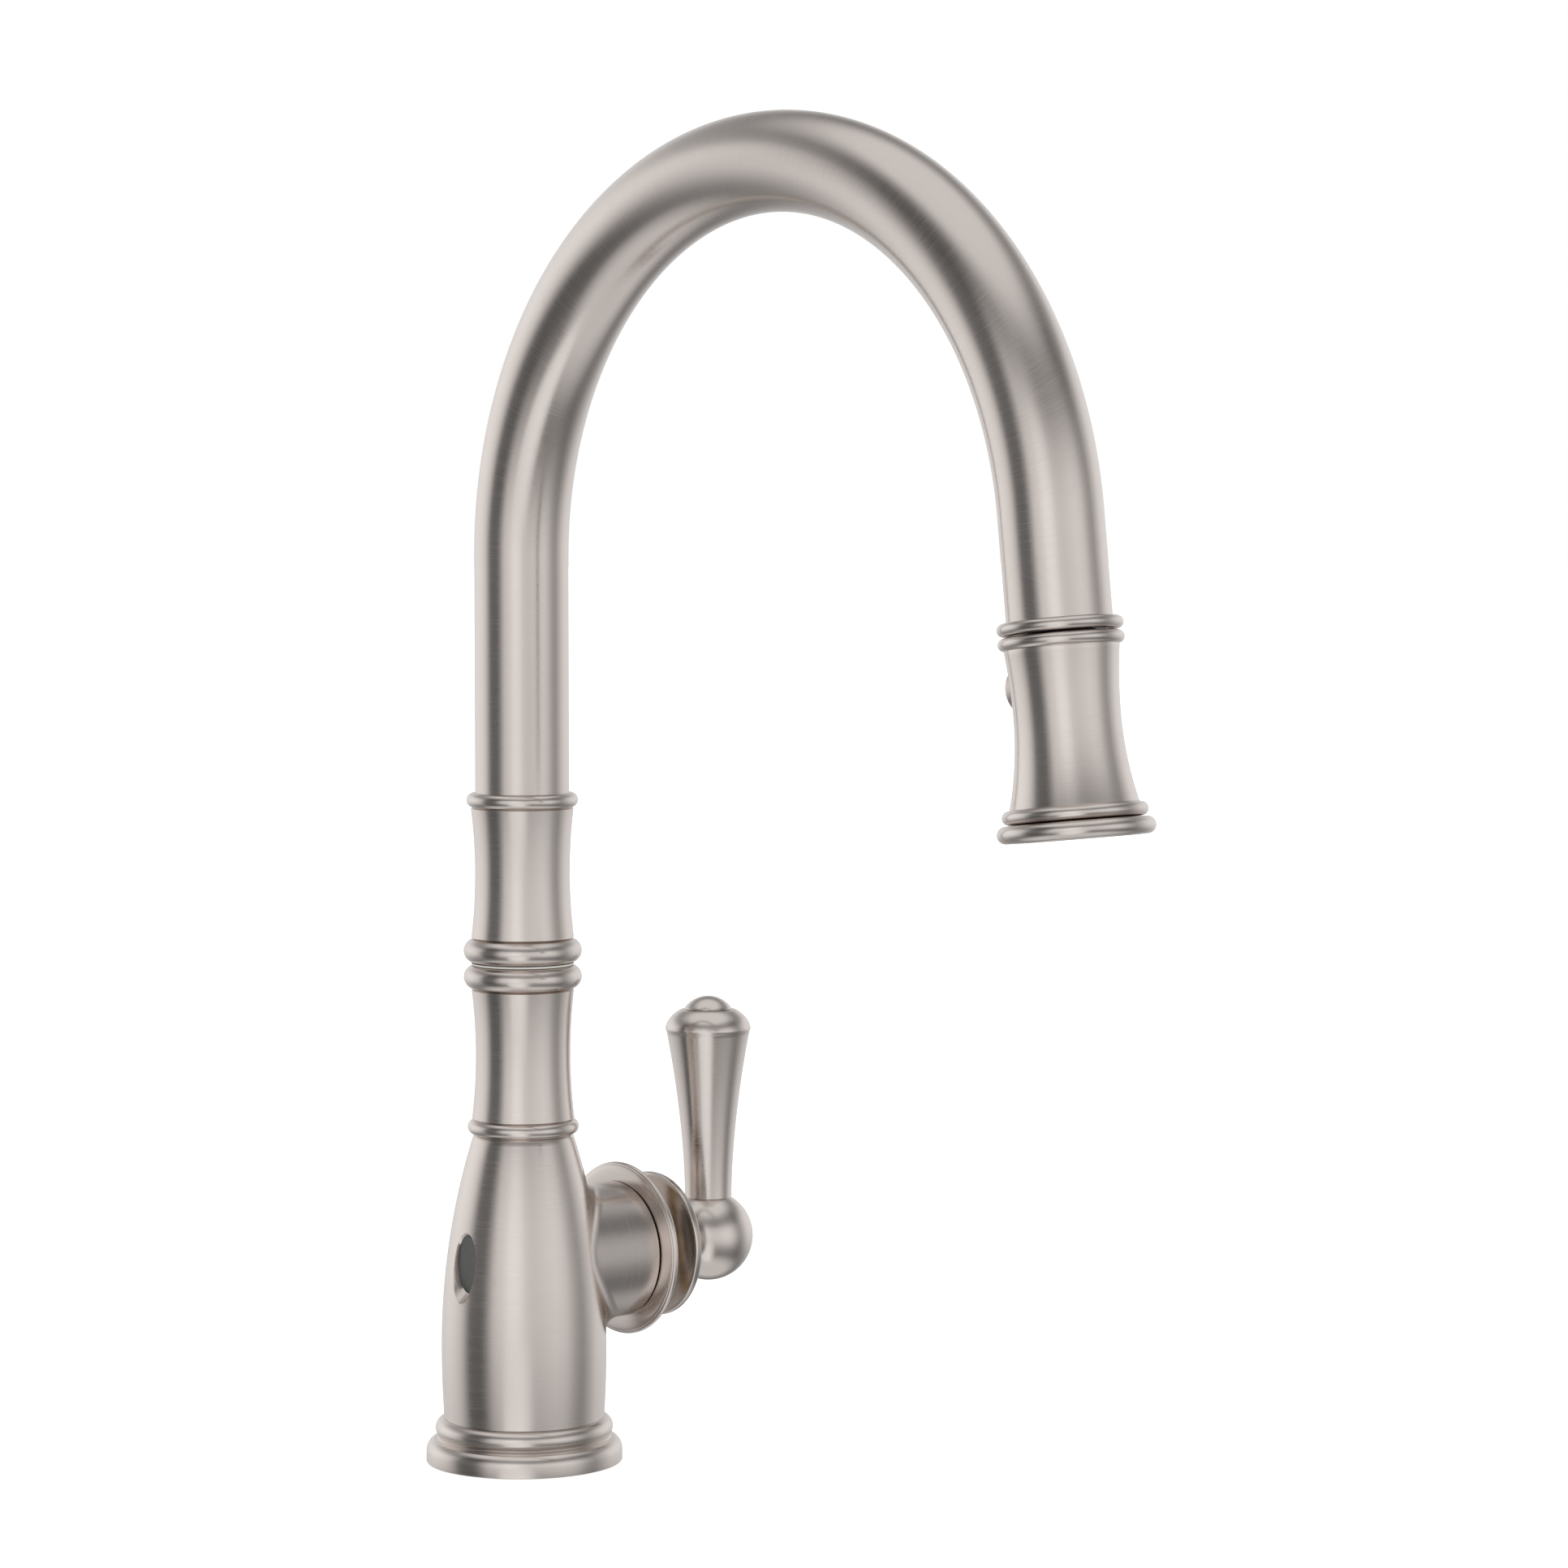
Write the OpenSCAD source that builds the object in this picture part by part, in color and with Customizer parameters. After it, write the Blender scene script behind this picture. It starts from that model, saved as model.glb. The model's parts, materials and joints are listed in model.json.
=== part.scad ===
// Pull-down kitchen faucet: bottle-shaped body, turned column, swivelling gooseneck spout,
// magnetically docked spray wand on a hose, side lever on a ceramic-disc cartridge and a touch-free sensor.
// +Z is up and z = 0 is the top of the deck. The spout points to -Y, the lever to +X, the sensor to -X.

/* [Base] */
// Outer radius of the base flange
base_r = 30; // [29:0.1:36]
// Height of the base flange above the deck
base_h = 13.4; // [12:0.1:16]
// Height of the straight band around the foot of the flange
base_band_h = 3.2; // [2:0.1:4.5]
// Radius of the bead on top of the flange
base_bead_r = 27.15; // [26.4:0.05:28.5]

/* [Body] */
// Largest radius of the bottle-shaped body
belly_r = 25.2; // [24.8:0.1:30]
// Height of the belly above the deck
belly_z = 35; // [28:1:42]
// Radius where the body meets the base flange
foot_r = 24.5; // [24.3:0.1:26]
// Radius at the top of the body
neck_r = 15.4; // [14.8:0.1:17]
// Height of the top of the body
body_top_z = 99.8; // [96:0.1:125]
// Wall of the body casting
body_wall = 3; // [2.4:0.1:3.4]

/* [Column] */
// Length of each half of the column
column_l = 53; // [44:0.5:66]
// Radius of the column at its waist
waist_r = 14.42; // [14.3:0.01:16]
// Radius of the column where it meets a bead
column_end_r = 15.6; // [15.5:0.05:17]
// Radius of the two large beads at the swivel joint
large_bead_r = 18; // [17.5:0.1:20]
// Height of each large bead
large_bead_h = 7.4; // [6:0.1:8]
// Radius of the small bead at the far end of each half
small_bead_r = 17; // [16.6:0.1:18.5]
// Height of the small bead
small_bead_h = 4.5; // [3.5:0.1:5]
// Gap between the two large beads
swivel_gap = 0.6; // [0.5:0.1:1]
// Swivel of the spout to each side, in degrees
swivel_limit = 110; // [60:5:130]

/* [Spout] */
// Outer radius of the gooseneck tube
tube_r = 14.29; // [13.2:0.01:14.29]
// Wall of the gooseneck tube
tube_wall = 1.3; // [1:0.1:1.5]
// Height where the bend starts
bend_z = 276.7; // [230:0.1:335]
// Radius of the bend, at the middle of the tube
bend_r = 112.8; // [94:0.1:136]
// Angle that the tube turns through
bend_turn = 173.2; // [168:0.1:176]
// Straight length between the bend and the dock collar
dock_straight = 28.4; // [27:0.1:35]
// Height of the dock collar
collar_h = 3.5; // [3:0.1:5]
// Radius of the dock collar and of the ring on top of the wand
collar_r = 17; // [16.6:0.1:18.5]

/* [Wand] */
// Length of the wand from its top ring to its face
wand_l = 54.7; // [52:0.1:66]
// Gap between dock collar and wand
dock_gap = 0.4; // [0.3:0.1:0.8]
// Radius of the wand at its waist
wand_waist_r = 14.34; // [14.3:0.01:16]
// Radius of the wand under its top ring
wand_neck_r = 15.5; // [15.2:0.1:16.5]
// Radius of the wand above its lower rings
wand_skirt_r = 17.35; // [17.2:0.05:19]
// Radius of the upper one of the two lower rings
wand_ring_r = 19.6; // [19.2:0.1:21]
// Radius of the face ring
face_ring_r = 21.3; // [20.8:0.1:23]
// Radius of the spray button
button_r = 6.6; // [5.5:0.1:7]
// How far the spray button travels
button_travel = 2; // [1:0.1:2.2]
// Number of nozzles in the inner and outer circles
nozzle_counts = [10, 18];

/* [Handle] */
// Height of the lever's turning axis
handle_z = 61.1; // [60:0.1:64]
// Radius of the hub on the side of the body
hub_r = 21; // [20.6:0.1:23]
// Distance from the body's axis to the end of the hub
hub_end_x = 37; // [37:0.1:42]
// Radius of the bonnet disc
bonnet_r = 26.8; // [24:0.1:29]
// Thickness of the bonnet disc
bonnet_t = 2.4; // [2:0.1:2.6]
// Radius of the thin disc on the handle
handle_disc_r = 22.5; // [20:0.1:24]
// Distance from the body's axis to the middle of the ball
ball_x = 75; // [74:0.1:84]
// Radius of the ball
ball_r = 14.15; // [13:0.05:15]
// Radius of the lever where it leaves the ball
lever_foot_r = 7.4; // [6.8:0.1:8.5]
// Largest radius of the lever
lever_r = 13.5; // [11.5:0.1:15]
// Height of the shoulder of the lever above the ball's middle
lever_l = 65.5; // [50:0.1:80]
// Tilt of the lever from closed to fully open, in degrees
tilt_limit = 20; // [10:1:20]

/* [Cartridge] */
// Radius of the cartridge housing
cartridge_r = 17.4; // [17:0.1:17.5]
// Distance from the body's axis to the floor of the cartridge bore
cartridge_x = 12; // [11.8:0.1:12.5]
// Distance from the floor of the bore to the pivot of the stem
pivot_depth = 17; // [16.8:0.1:17.2]
// Width of the square stem
stem_w = 5.8; // [5:0.1:6]

/* [Sensor] */
// Height of the middle of the sensor window
sensor_z = 62.6; // [58:0.1:63]
// Width of the sensor opening
sensor_w = 10.4; // [9:0.1:12]
// Height of the sensor opening
sensor_h = 18.6; // [16:0.1:19]
// Distance from the body's axis to the face of the lens
sensor_x = 21.6; // [21.2:0.1:21.8]

/* [Under the deck] */
// Outer radius of the threaded shank
shank_r = 16; // [15.4:0.1:16.4]
// Bore radius of the shank
shank_bore_r = 13.5; // [13.2:0.1:14]
// Length of the shank below the deck
shank_l = 60; // [50:1:90]
// Deck thickness that the hardware is shown clamped to
deck_t = 30; // [10:1:36]
// Radius of the mounting nut
nut_r = 24; // [22:0.5:28]
// Wall radius of the three threaded supply ports
port_r = 3.5; // [3:0.1:3.7]

/* [Hose] */
// Outer radius of the pull-out hose
hose_r = 5; // [4:0.1:5]
// How far the hose end reaches below the shank
hose_drop = 22; // [15:1:60]
// Length of the straight hose end that rides with the wand
tail_l = 40; // [30:1:40]

/* [Hidden] */
$fn = 64;
// Fixed joints between pieces of one body leave this radial gap
seat = 0.05;
// Running fits: radial clearance of a shaft in its bush
run = 0.05;
// Clearance between pieces that move past each other
free = 0.3;
// Overshoot of a cutting tool past the surface that it cuts
cut = 1;

swivel_z = body_top_z + column_l;
half_gap = swivel_gap / 2;
spindle_r = 10.6;
spindle_root_r = 11;
spindle_bore_r = 8.7;
spindle_foot = 34;
spindle_top = 36;
column_bore_r = spindle_r + 1.6;
bush_h = 10;
lower_bush_u = 2;
upper_bush_u = 21;
clip_u = upper_bush_u + bush_h + 0.1;
stop_u = 15.5;
stop_r = 1.2;
o_ring_u = 18.7;
o_ring_t = 1;
tube_bore_r = tube_r - tube_wall;
tube_foot_u = column_l - 9;
spigot_l = 6.8;
spigot_r = 12.4;
hose_way_r = 9.4;

block_r = foot_r - body_wall - seat;
block_z = 4;
block_top_z = 30;
port_top_z = 24;
thread_z = 14;
way_r = 2.8;
hose_x = -7.4;
// Hot, cold and mixed ports in the block, seen from above
port_xy = [[3.6, 8.2], [3.6, -8.2], [8, 0]];
// Where the same three ways open into the cartridge bore: across and up from its axis
way_yz = [[8.2, -4], [-8.2, -4], [0, -9.5]];
core_x = -1.2;
core_top_z = handle_z + cartridge_r + 2.5;
screw_ring_r = 18.75;
screw_turn = 60;

pivot_x = cartridge_x + pivot_depth;
bore_r = cartridge_r + 0.2;
nut_bore_r = hub_r - 1.8;
housing_top = 19;
disc_x = cartridge_x + 3.7;
disc_t = 3.5;
moving_x = disc_x + disc_t + run;
moving_t = 3.2;
foot_x = pivot_x - 6.8;
stem_foot_r = 1.6;
carrier_x = moving_x + moving_t + 0.5;
carrier_neck_x = pivot_x - 1.1;
carrier_end_x = pivot_x + 5.5;
carrier_neck_r = 11.8;
bonnet_x = hub_end_x + 0.4;
bonnet_hole_r = 18.2;
skirt_r = 12.5;
skirt_x = hub_end_x + 2;
cove_x = hub_end_x + 7.5;
cove_l = 6.1;
handle_disc_x = cove_x + cove_l;
handle_disc_t = 2.3;
handle_neck_r = 8.5;
socket_x = ball_x - ball_r - 0.5;

dock_y = -bend_r * (1 - cos(bend_turn));
dock_z = bend_z + bend_r * sin(bend_turn);
wand_s = dock_straight + collar_h + dock_gap;
insert_bore_r = 8.9;
plug_r = insert_bore_r - free;
plug_l = 14;
journal_r = 5;
button_s = wand_s + 13.5;
ring_h = 3.8;
face_ring_h = 4.7;
wand_cavity_r = wand_waist_r - 1.74;
plate_r = 17.3;
aerator_r = 6.8;
nozzle_r = 1.1;
nozzle_rings = [10, 13.6];

// Points along an arc about [cx, cy], from angle a0 to a1
function arc_points(cx, cy, r, a0, a1, n = 8) =
    [for (i = [0:n]) let (a = a0 + (a1 - a0) * i / n) [cx + r * cos(a), cy + r * sin(a)]];
// Radius of the circle that strays by rise over a run
function bow_r(run_l, rise) = (run_l * run_l + rise * rise) / (2 * rise);
// How far that circle has strayed after t
function stray(t, run_l, rise) = let (r = bow_r(run_l, rise)) r - sqrt(r * r - t * t);
// Outer radius of the body at height z
function body_radius(z) = z > belly_z
    ? belly_r - stray(z - belly_z, body_top_z - belly_z, belly_r - neck_r)
    : belly_r - stray(belly_z - z, belly_z - base_h, belly_r - foot_r);
// Body outline between two heights, moved inwards by t
function body_points(z0, z1, t, n = 24) =
    [for (i = [0:n]) let (z = z0 + (z1 - z0) * i / n) [body_radius(z) - t, z]];
// One half of the column from the swivel plane outwards
function column_points() =
    let (u0 = half_gap + large_bead_h, u1 = column_l - small_bead_h - 0.8, mid = (u0 + u1) / 2)
    concat(
        arc_points(large_bead_r - large_bead_h / 2, half_gap + large_bead_h / 2,
            large_bead_h / 2, -90, 90, 10),
        [for (i = [0:16]) let (u = u0 + (u1 - u0) * i / 16)
            [waist_r + stray(u - mid, mid - u0, column_end_r - waist_r), u]],
        arc_points(small_bead_r - small_bead_h / 2, u1 + small_bead_h / 2, small_bead_h / 2, -90, 90, 8)
    );
// Outline of the wand from its top ring to its upper lower ring
function wand_points() =
    let (u0 = collar_h, mid = 21.7, u1 = wand_l - face_ring_h - ring_h - 0.2)
    concat(
        arc_points(collar_r - collar_h / 2, collar_h / 2, collar_h / 2, -90, 90, 8),
        [for (i = [0:8]) let (u = u0 + (mid - u0) * i / 8)
            [wand_waist_r + stray(mid - u, mid - u0, wand_neck_r - wand_waist_r), u]],
        [for (i = [1:12]) let (u = mid + (u1 - mid) * i / 12)
            [wand_waist_r + stray(u - mid, u1 - mid, wand_skirt_r - wand_waist_r), u]],
        arc_points(wand_ring_r - ring_h / 2, u1 + ring_h / 2, ring_h / 2, -90, 90, 8)
    );
// An ellipse of semi-axes a and b
function ellipse_points(a, b, n = 40) = [for (i = [0:n - 1]) [a * cos(360 * i / n), b * sin(360 * i / n)]];

// Solid turned about Z from [radius, height] points
module turned(points) {
    rotate_extrude($fn = 96) polygon(points);
}
// Plain ring from radius r0 to r1
module ring(r0, r1, h) {
    difference() {
        cylinder(h = h, r = r1, $fn = 96);
        translate([0, 0, -cut]) cylinder(h = h + 2 * cut, r = r0, $fn = 96);
    }
}
// Round-section ring
module o_ring(ring_r, t) {
    rotate_extrude($fn = 96) translate([ring_r, 0]) circle(r = t, $fn = 32);
}
// Ring with a rounded rim
module bead(r, h, bore) {
    turned(concat([[bore, 0]], arc_points(r - h / 2, h / 2, h / 2, -90, 90), [[bore, h]]));
}
// Moves to the pivot axis of the lever: local Z runs along +X
module on_handle_axis(x = 0) {
    translate([x, 0, handle_z]) rotate([0, 90, 0]) children();
}
// Moves to the end of the bend: local Z runs down the wand, local -Y faces the column
module at_dock(s = 0) {
    translate([0, -bend_r, bend_z]) rotate([bend_turn, 0, 0]) translate([0, bend_r, s]) children();
}
// Bent pipe about Z that starts on the X axis, from bore r0 to radius r1
module bent_pipe(r0, r1, middle_r, turn) {
    rotate_extrude(angle = turn, $fn = 180) translate([middle_r, 0]) difference() {
        circle(r = r1);
        if (r0 > 0) circle(r = r0);
    }
}
// Straight pipe along Z
module pipe(r0, r1, h) {
    linear_extrude(h) difference() {
        circle(r = r1);
        if (r0 > 0) circle(r = r0);
    }
}
// Pipe that follows the spout from height z to a straight tail, turned through turn degrees
module gooseneck(r0, r1, z, turn, tail) {
    translate([0, 0, z]) pipe(r0, r1, bend_z - z);
    translate([0, -bend_r, bend_z]) {
        rotate([90, 0, 90]) bent_pipe(r0, r1, bend_r, turn);
        if (tail > 0) rotate([turn, 0, 0]) translate([0, bend_r, 0]) pipe(r0, r1, tail);
    }
}
// Oval bar along -X, from distance x0 to x1
module oval(a, b, x0, x1) {
    translate([-x1, 0, sensor_z]) rotate([90, 0, 90])
        linear_extrude(x1 - x0) polygon(ellipse_points(a, b));
}

// Rubber ring between flange and deck
module deck_gasket() {
    color("#333333") ring(19, 26, 1.6);
}

// Escutcheon that covers the deck hole
module base_flange() {
    crease_z = 6.9;
    crease_r = base_bead_r - 0.2;
    bead_h = base_h - crease_z - 0.2;
    color("#b7aca6") difference() {
        turned(concat(
            [[shank_r + 1, 0], [base_r, 0]],
            [for (i = [0:8]) let (a = 90 * i / 8)
                [crease_r + (base_r - crease_r) * cos(a), base_band_h + (crease_z - base_band_h) * sin(a)]],
            arc_points(base_bead_r - bead_h / 2, crease_z + bead_h / 2, bead_h / 2, -80, 90),
            [[foot_r, base_h], [block_r + seat, base_h], [block_r + seat, block_z], [shank_r + 1, block_z]]
        ));
        translate([0, 0, -cut]) ring(19 - seat, 26 + seat, 1.6 + cut);
    }
}

// Bottle-shaped casting with the cartridge hub, the supply ways and the sensor opening
module body_shell() {
    spigot_z = body_top_z - spigot_l;
    color("#b7aca6") difference() {
        union() {
            turned(concat([[0, base_h]], body_points(base_h, body_top_z, 0), [[0, body_top_z]]));
            on_handle_axis() cylinder(h = hub_end_x, r = hub_r, $fn = 96);
        }
        translate([0, 0, base_h - cut])
            cylinder(h = block_top_z - base_h + cut, r = block_r + seat, $fn = 96);
        intersection() {
            turned(concat([[0, block_top_z - seat]], body_points(block_top_z - seat, spigot_z, body_wall),
                [[0, spigot_z]]));
            union() {
                translate([core_x - 60, -30, 0]) cube([60, 60, body_top_z]);
                translate([-30, -30, core_top_z]) cube([60, 60, body_top_z]);
            }
        }
        translate([0, 0, spigot_z - cut]) cylinder(h = spigot_l + 2 * cut, r = spigot_r + seat);
        on_handle_axis(cartridge_x) cylinder(h = hub_end_x, r = bore_r, $fn = 96);
        on_handle_axis(cartridge_x + housing_top) cylinder(h = hub_end_x, r = nut_bore_r, $fn = 96);
        for (i = [0:2]) {
            top_z = handle_z + way_yz[i][1];
            translate([port_xy[i][0], port_xy[i][1], block_top_z - cut])
                cylinder(h = top_z - block_top_z + cut, r = way_r);
            translate([port_xy[i][0], way_yz[i][0], top_z]) rotate([0, 90, 0])
                cylinder(h = cartridge_x - port_xy[i][0] + 0.5, r = way_r);
        }
        for (side = [-1, 1]) rotate([0, 0, side * screw_turn])
            translate([screw_ring_r, 0, block_top_z - cut]) cylinder(h = 9 + cut, r = 1.5 + seat);
        oval(sensor_w / 2, sensor_h / 2, core_x + 16, belly_r + 5);
    }
}

// Brass block that joins the three supply ways to the shank
module port_block() {
    color("#b08d3e") difference() {
        translate([0, 0, block_z]) cylinder(h = block_top_z - block_z - 2 * seat, r = block_r, $fn = 96);
        translate([0, 0, block_z - cut]) cylinder(h = thread_z - block_z + cut, r = shank_r + seat, $fn = 96);
        for (p = port_xy) translate([p[0], p[1], 0]) {
            cylinder(h = port_top_z, r = port_r);
            cylinder(h = block_top_z + cut, r = way_r);
            translate([0, 0, block_top_z - 1.3]) ring(way_r + 0.5, way_r + 1.6, 2);
        }
        translate([hose_x, 0, 0]) cylinder(h = block_top_z + cut, r = hose_r + 1);
        for (side = [-1, 1]) rotate([0, 0, side * screw_turn]) translate([screw_ring_r, 0, 0]) {
            cylinder(h = block_top_z + cut, r = 1.5 + seat);
            cylinder(h = block_z + 6.5, r = 2.3);
        }
    }
}

// Seals between block and body
module port_o_rings() {
    color("#262626") for (p = port_xy) translate([p[0], p[1], block_top_z - 0.6]) o_ring(way_r + 1.05, 0.5);
}

// Two screws that hold the block in the body
module block_screws() {
    color("#9a9a98") for (side = [-1, 1]) rotate([0, 0, side * screw_turn])
        translate([screw_ring_r, 0, 0]) difference() {
            union() {
                translate([0, 0, block_z + 6.5]) cylinder(h = 25.5, r = 1.5);
                translate([0, 0, block_z + 4]) cylinder(h = 2.5, r = 2.2);
            }
            translate([0, 0, block_z + 3]) cylinder(h = 2.5, r = 1.3, $fn = 6);
        }
}

// Hollow threaded shank through the deck
module shank() {
    color("#b08d3e") translate([0, 0, -shank_l]) ring(shank_bore_r, shank_r, shank_l + thread_z);
}

// Rubber washer under the deck
module mounting_seal() {
    color("#333333") translate([0, 0, -deck_t - 2.5]) ring(shank_r + free, nut_r + 1, 2.5);
}

// Steel washer under the rubber
module mounting_washer() {
    color("#9a9a98") translate([0, 0, -deck_t - 4.5]) ring(shank_r + free, nut_r + 2, 2);
}

// Nut on the shank, with six wings to turn it by hand
module mounting_nut() {
    color("#b08d3e") translate([0, 0, -deck_t - 14.5]) difference() {
        union() {
            cylinder(h = 10, r = nut_r - 3, $fn = 96);
            for (i = [0:5]) rotate([0, 0, 60 * i]) translate([nut_r - 6, -3, 1]) cube([6, 6, 8]);
        }
        translate([0, 0, -cut]) cylinder(h = 10 + 2 * cut, r = shank_r + seat, $fn = 96);
    }
}

// Pull-out hose inside body and column, with a leaning stretch that brings it to the middle
module hose_riser() {
    low_z = 70;
    high_z = 116;
    lean_l = high_z - low_z;
    color("#6f7174") {
        translate([hose_x, 0, -shank_l - hose_drop]) cylinder(h = low_z + shank_l + hose_drop, r = hose_r);
        translate([hose_x, 0, low_z]) {
            sphere(r = hose_r + 0.15);
            rotate([0, atan(-hose_x / lean_l), 0]) cylinder(h = norm([lean_l, hose_x]), r = hose_r);
        }
        translate([0, 0, high_z]) {
            sphere(r = hose_r + 0.15);
            cylinder(h = swivel_z - half_gap - high_z, r = hose_r);
        }
    }
}

// Brass connector on the lower end of the pull-out hose
module hose_coupling() {
    top_z = -shank_l - hose_drop;
    color("#b08d3e") translate([hose_x, 0, top_z - 30]) difference() {
        union() {
            cylinder(h = 30, r = 5);
            translate([0, 0, 12]) cylinder(h = 10, r = 7, $fn = 6);
            translate([0, 0, 20]) cylinder(h = 14, r = 6.6);
        }
        translate([0, 0, 30]) cylinder(h = 4 + cut, r = hose_r + seat);
        translate([0, 0, -cut]) cylinder(h = 32, r = 3);
    }
}

// Fixed half of the column
module lower_column() {
    color("#b7aca6") difference() {
        union() {
            translate([0, 0, swivel_z]) mirror([0, 0, 1])
                turned(concat([[0, half_gap]], column_points(), [[0, column_l - 0.8]]));
            translate([0, 0, body_top_z]) cylinder(h = 2, r = neck_r, $fn = 96);
            translate([0, 0, body_top_z - spigot_l]) cylinder(h = spigot_l + cut, r = spigot_r);
        }
        translate([0, 0, body_top_z - spigot_l - cut]) cylinder(h = column_l, r = hose_way_r);
        translate([0, 0, swivel_z - spindle_foot]) cylinder(h = column_l, r = spindle_root_r + seat);
    }
}

// Brass tube that the spout turns on
module swivel_spindle() {
    color("#b08d3e") translate([0, 0, swivel_z]) difference() {
        union() {
            translate([0, 0, -spindle_foot])
                cylinder(h = spindle_foot - half_gap, r = spindle_root_r, $fn = 96);
            translate([0, 0, -half_gap - cut])
                cylinder(h = spindle_top + half_gap + cut, r = spindle_r, $fn = 96);
        }
        translate([0, 0, -spindle_foot - cut]) cylinder(h = 2 * column_l, r = spindle_bore_r);
        translate([0, 0, clip_u]) ring(9.8, spindle_r + cut, 1.3);
        translate([0, 0, o_ring_u - o_ring_t - 0.15])
            ring(column_bore_r - 2 * seat - 2 * o_ring_t, spindle_r + cut, 2 * o_ring_t + 0.3);
        rotate([0, 0, -90 - swivel_limit - 8])
            rotate_extrude(angle = 2 * swivel_limit + 16, $fn = 96)
                translate([9.3, stop_u - stop_r - 0.2]) square([3, 2 * stop_r + 0.4]);
    }
}

// Slip washer between the two halves of the column
module swivel_washer() {
    color("#d8d4cc") translate([0, 0, swivel_z - half_gap])
        ring(spindle_r + free, column_end_r, swivel_gap - seat);
}

// Friction ring on the spindle
module spindle_o_ring() {
    color("#262626") translate([0, 0, swivel_z + o_ring_u]) o_ring(column_bore_r - seat - o_ring_t, o_ring_t);
}

// Spring clip that keeps the spout on its spindle
module spindle_clip() {
    color("#9a9a98") translate([0, 0, swivel_z + clip_u + 0.1]) difference() {
        ring(9.9, column_bore_r - free, 1.1);
        translate([0, -1.5, -cut]) cube([column_bore_r, 3, 1.1 + 2 * cut]);
    }
}

// Seals under the cartridge
module cartridge_seals() {
    color("#262626") for (w = way_yz) translate([cartridge_x + 0.75, w[0], handle_z + w[1]])
        rotate([0, 90, 0]) o_ring(4, 0.7);
}

// Cup of the cartridge with the three ports in its floor
module cartridge_housing() {
    color("#e6e3dc") difference() {
        on_handle_axis(cartridge_x + seat) cylinder(h = housing_top - 2 * seat, r = cartridge_r, $fn = 96);
        on_handle_axis(disc_x) cylinder(h = housing_top, r = cartridge_r - 1.8, $fn = 96);
        for (w = way_yz) translate([cartridge_x, w[0], handle_z + w[1]]) rotate([0, 90, 0]) {
            translate([0, 0, -cut]) cylinder(h = 6, r = way_r - 0.2);
            translate([0, 0, -cut]) ring(3.2, 4.8, 1.5 + cut);
        }
    }
}

// Ring that closes the cartridge round the neck of the carrier
module cartridge_cap() {
    color("#d2cec4") on_handle_axis(carrier_neck_x + 0.7)
        ring(carrier_neck_r + run, cartridge_r - 1.8 - seat,
            cartridge_x + housing_top - carrier_neck_x - 0.7 - 0.1);
}

// Fixed ceramic disc
module fixed_disc() {
    color("#f1efe8") difference() {
        on_handle_axis(disc_x + seat) cylinder(h = disc_t - seat, r = 14.5, $fn = 96);
        for (w = way_yz) translate([disc_x - cut, w[0], handle_z + w[1]]) rotate([0, 90, 0])
            cylinder(h = 2 * disc_t, r = way_r - 0.2);
    }
}

// Brass ring that clamps the cartridge
module cartridge_nut() {
    color("#b08d3e") on_handle_axis(cartridge_x + housing_top + seat) difference() {
        ring(cartridge_r - 1.2, nut_bore_r - seat, 4);
        for (i = [0:3]) rotate([0, 0, 45 + 90 * i]) translate([cartridge_r - 2, -1.5, 2.5])
            cube([6, 3, 4]);
    }
}

// Bonnet disc that covers the end of the hub, with a slightly domed back
module bonnet() {
    foot = bonnet_x - hub_end_x + 1.8;
    rim = 0.9;
    color("#b7aca6") on_handle_axis(hub_end_x - 1.8) turned(concat(
        [[bonnet_hole_r - 0.6, 0], [nut_bore_r - seat, 0], [nut_bore_r - seat, foot], [hub_r, foot]],
        [for (i = [1:6]) let (a = 90 * i / 6)
            [hub_r + (bonnet_r - rim - hub_r) * sin(a), foot + (bonnet_t - 2 * rim) * (1 - cos(a))]],
        arc_points(bonnet_r - rim, foot + bonnet_t - rim, rim, -75, 90, 8),
        [[bonnet_hole_r, foot + bonnet_t], [bonnet_hole_r, 1.4]]
    ));
}

// Gasket round the sensor lens
module sensor_seal() {
    color("#1c1c1c") difference() {
        oval(sensor_w / 2 - seat, sensor_h / 2 - seat, sensor_x - 1.6, sensor_x - 0.2);
        oval(sensor_w / 2 - 0.6, sensor_h / 2 - 0.6, 0, belly_r + 5);
    }
}

// Dark window in front of the sensor
module sensor_lens() {
    color("#4a4a4a") oval(sensor_w / 2 - 0.65, sensor_h / 2 - 0.65, sensor_x - 1.6, sensor_x);
}

// Sealed infrared sensor behind the window
module sensor_module() {
    color("#2a2a2a") oval(sensor_w / 2 - 0.2, sensor_h / 2 - 0.2, sensor_x - 6.2, sensor_x - 1.65);
}

// Turning half of the column, brazed to the tube
module upper_column() {
    color("#b7aca6") difference() {
        translate([0, 0, swivel_z]) turned(concat([[0, half_gap]], column_points(), [[0, column_l - 0.8]]));
        translate([0, 0, swivel_z - cut]) cylinder(h = column_l + 2 * cut, r = column_bore_r, $fn = 96);
        translate([0, 0, swivel_z + tube_foot_u]) cylinder(h = column_l, r = tube_r + seat, $fn = 96);
        translate([0, 0, swivel_z + stop_u]) rotate([90, 0, 0])
            cylinder(h = column_bore_r + 1.3, r = stop_r + seat);
    }
}

// Plastic bushes pressed into the upper column
module bush() {
    color("#d8d4cc") ring(spindle_r + run, column_bore_r - seat, bush_h);
}
module lower_bush() {
    translate([0, 0, swivel_z + lower_bush_u]) bush();
}
module upper_bush() {
    translate([0, 0, swivel_z + upper_bush_u]) bush();
}

// Pin in the upper column that runs in the slot of the spindle and limits the swivel
module stop_pin() {
    color("#9a9a98") translate([0, 0, swivel_z + stop_u]) rotate([90, 0, 0]) translate([0, 0, 9.7])
        cylinder(h = column_bore_r + 1.2 - 9.7, r = stop_r);
}

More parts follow.
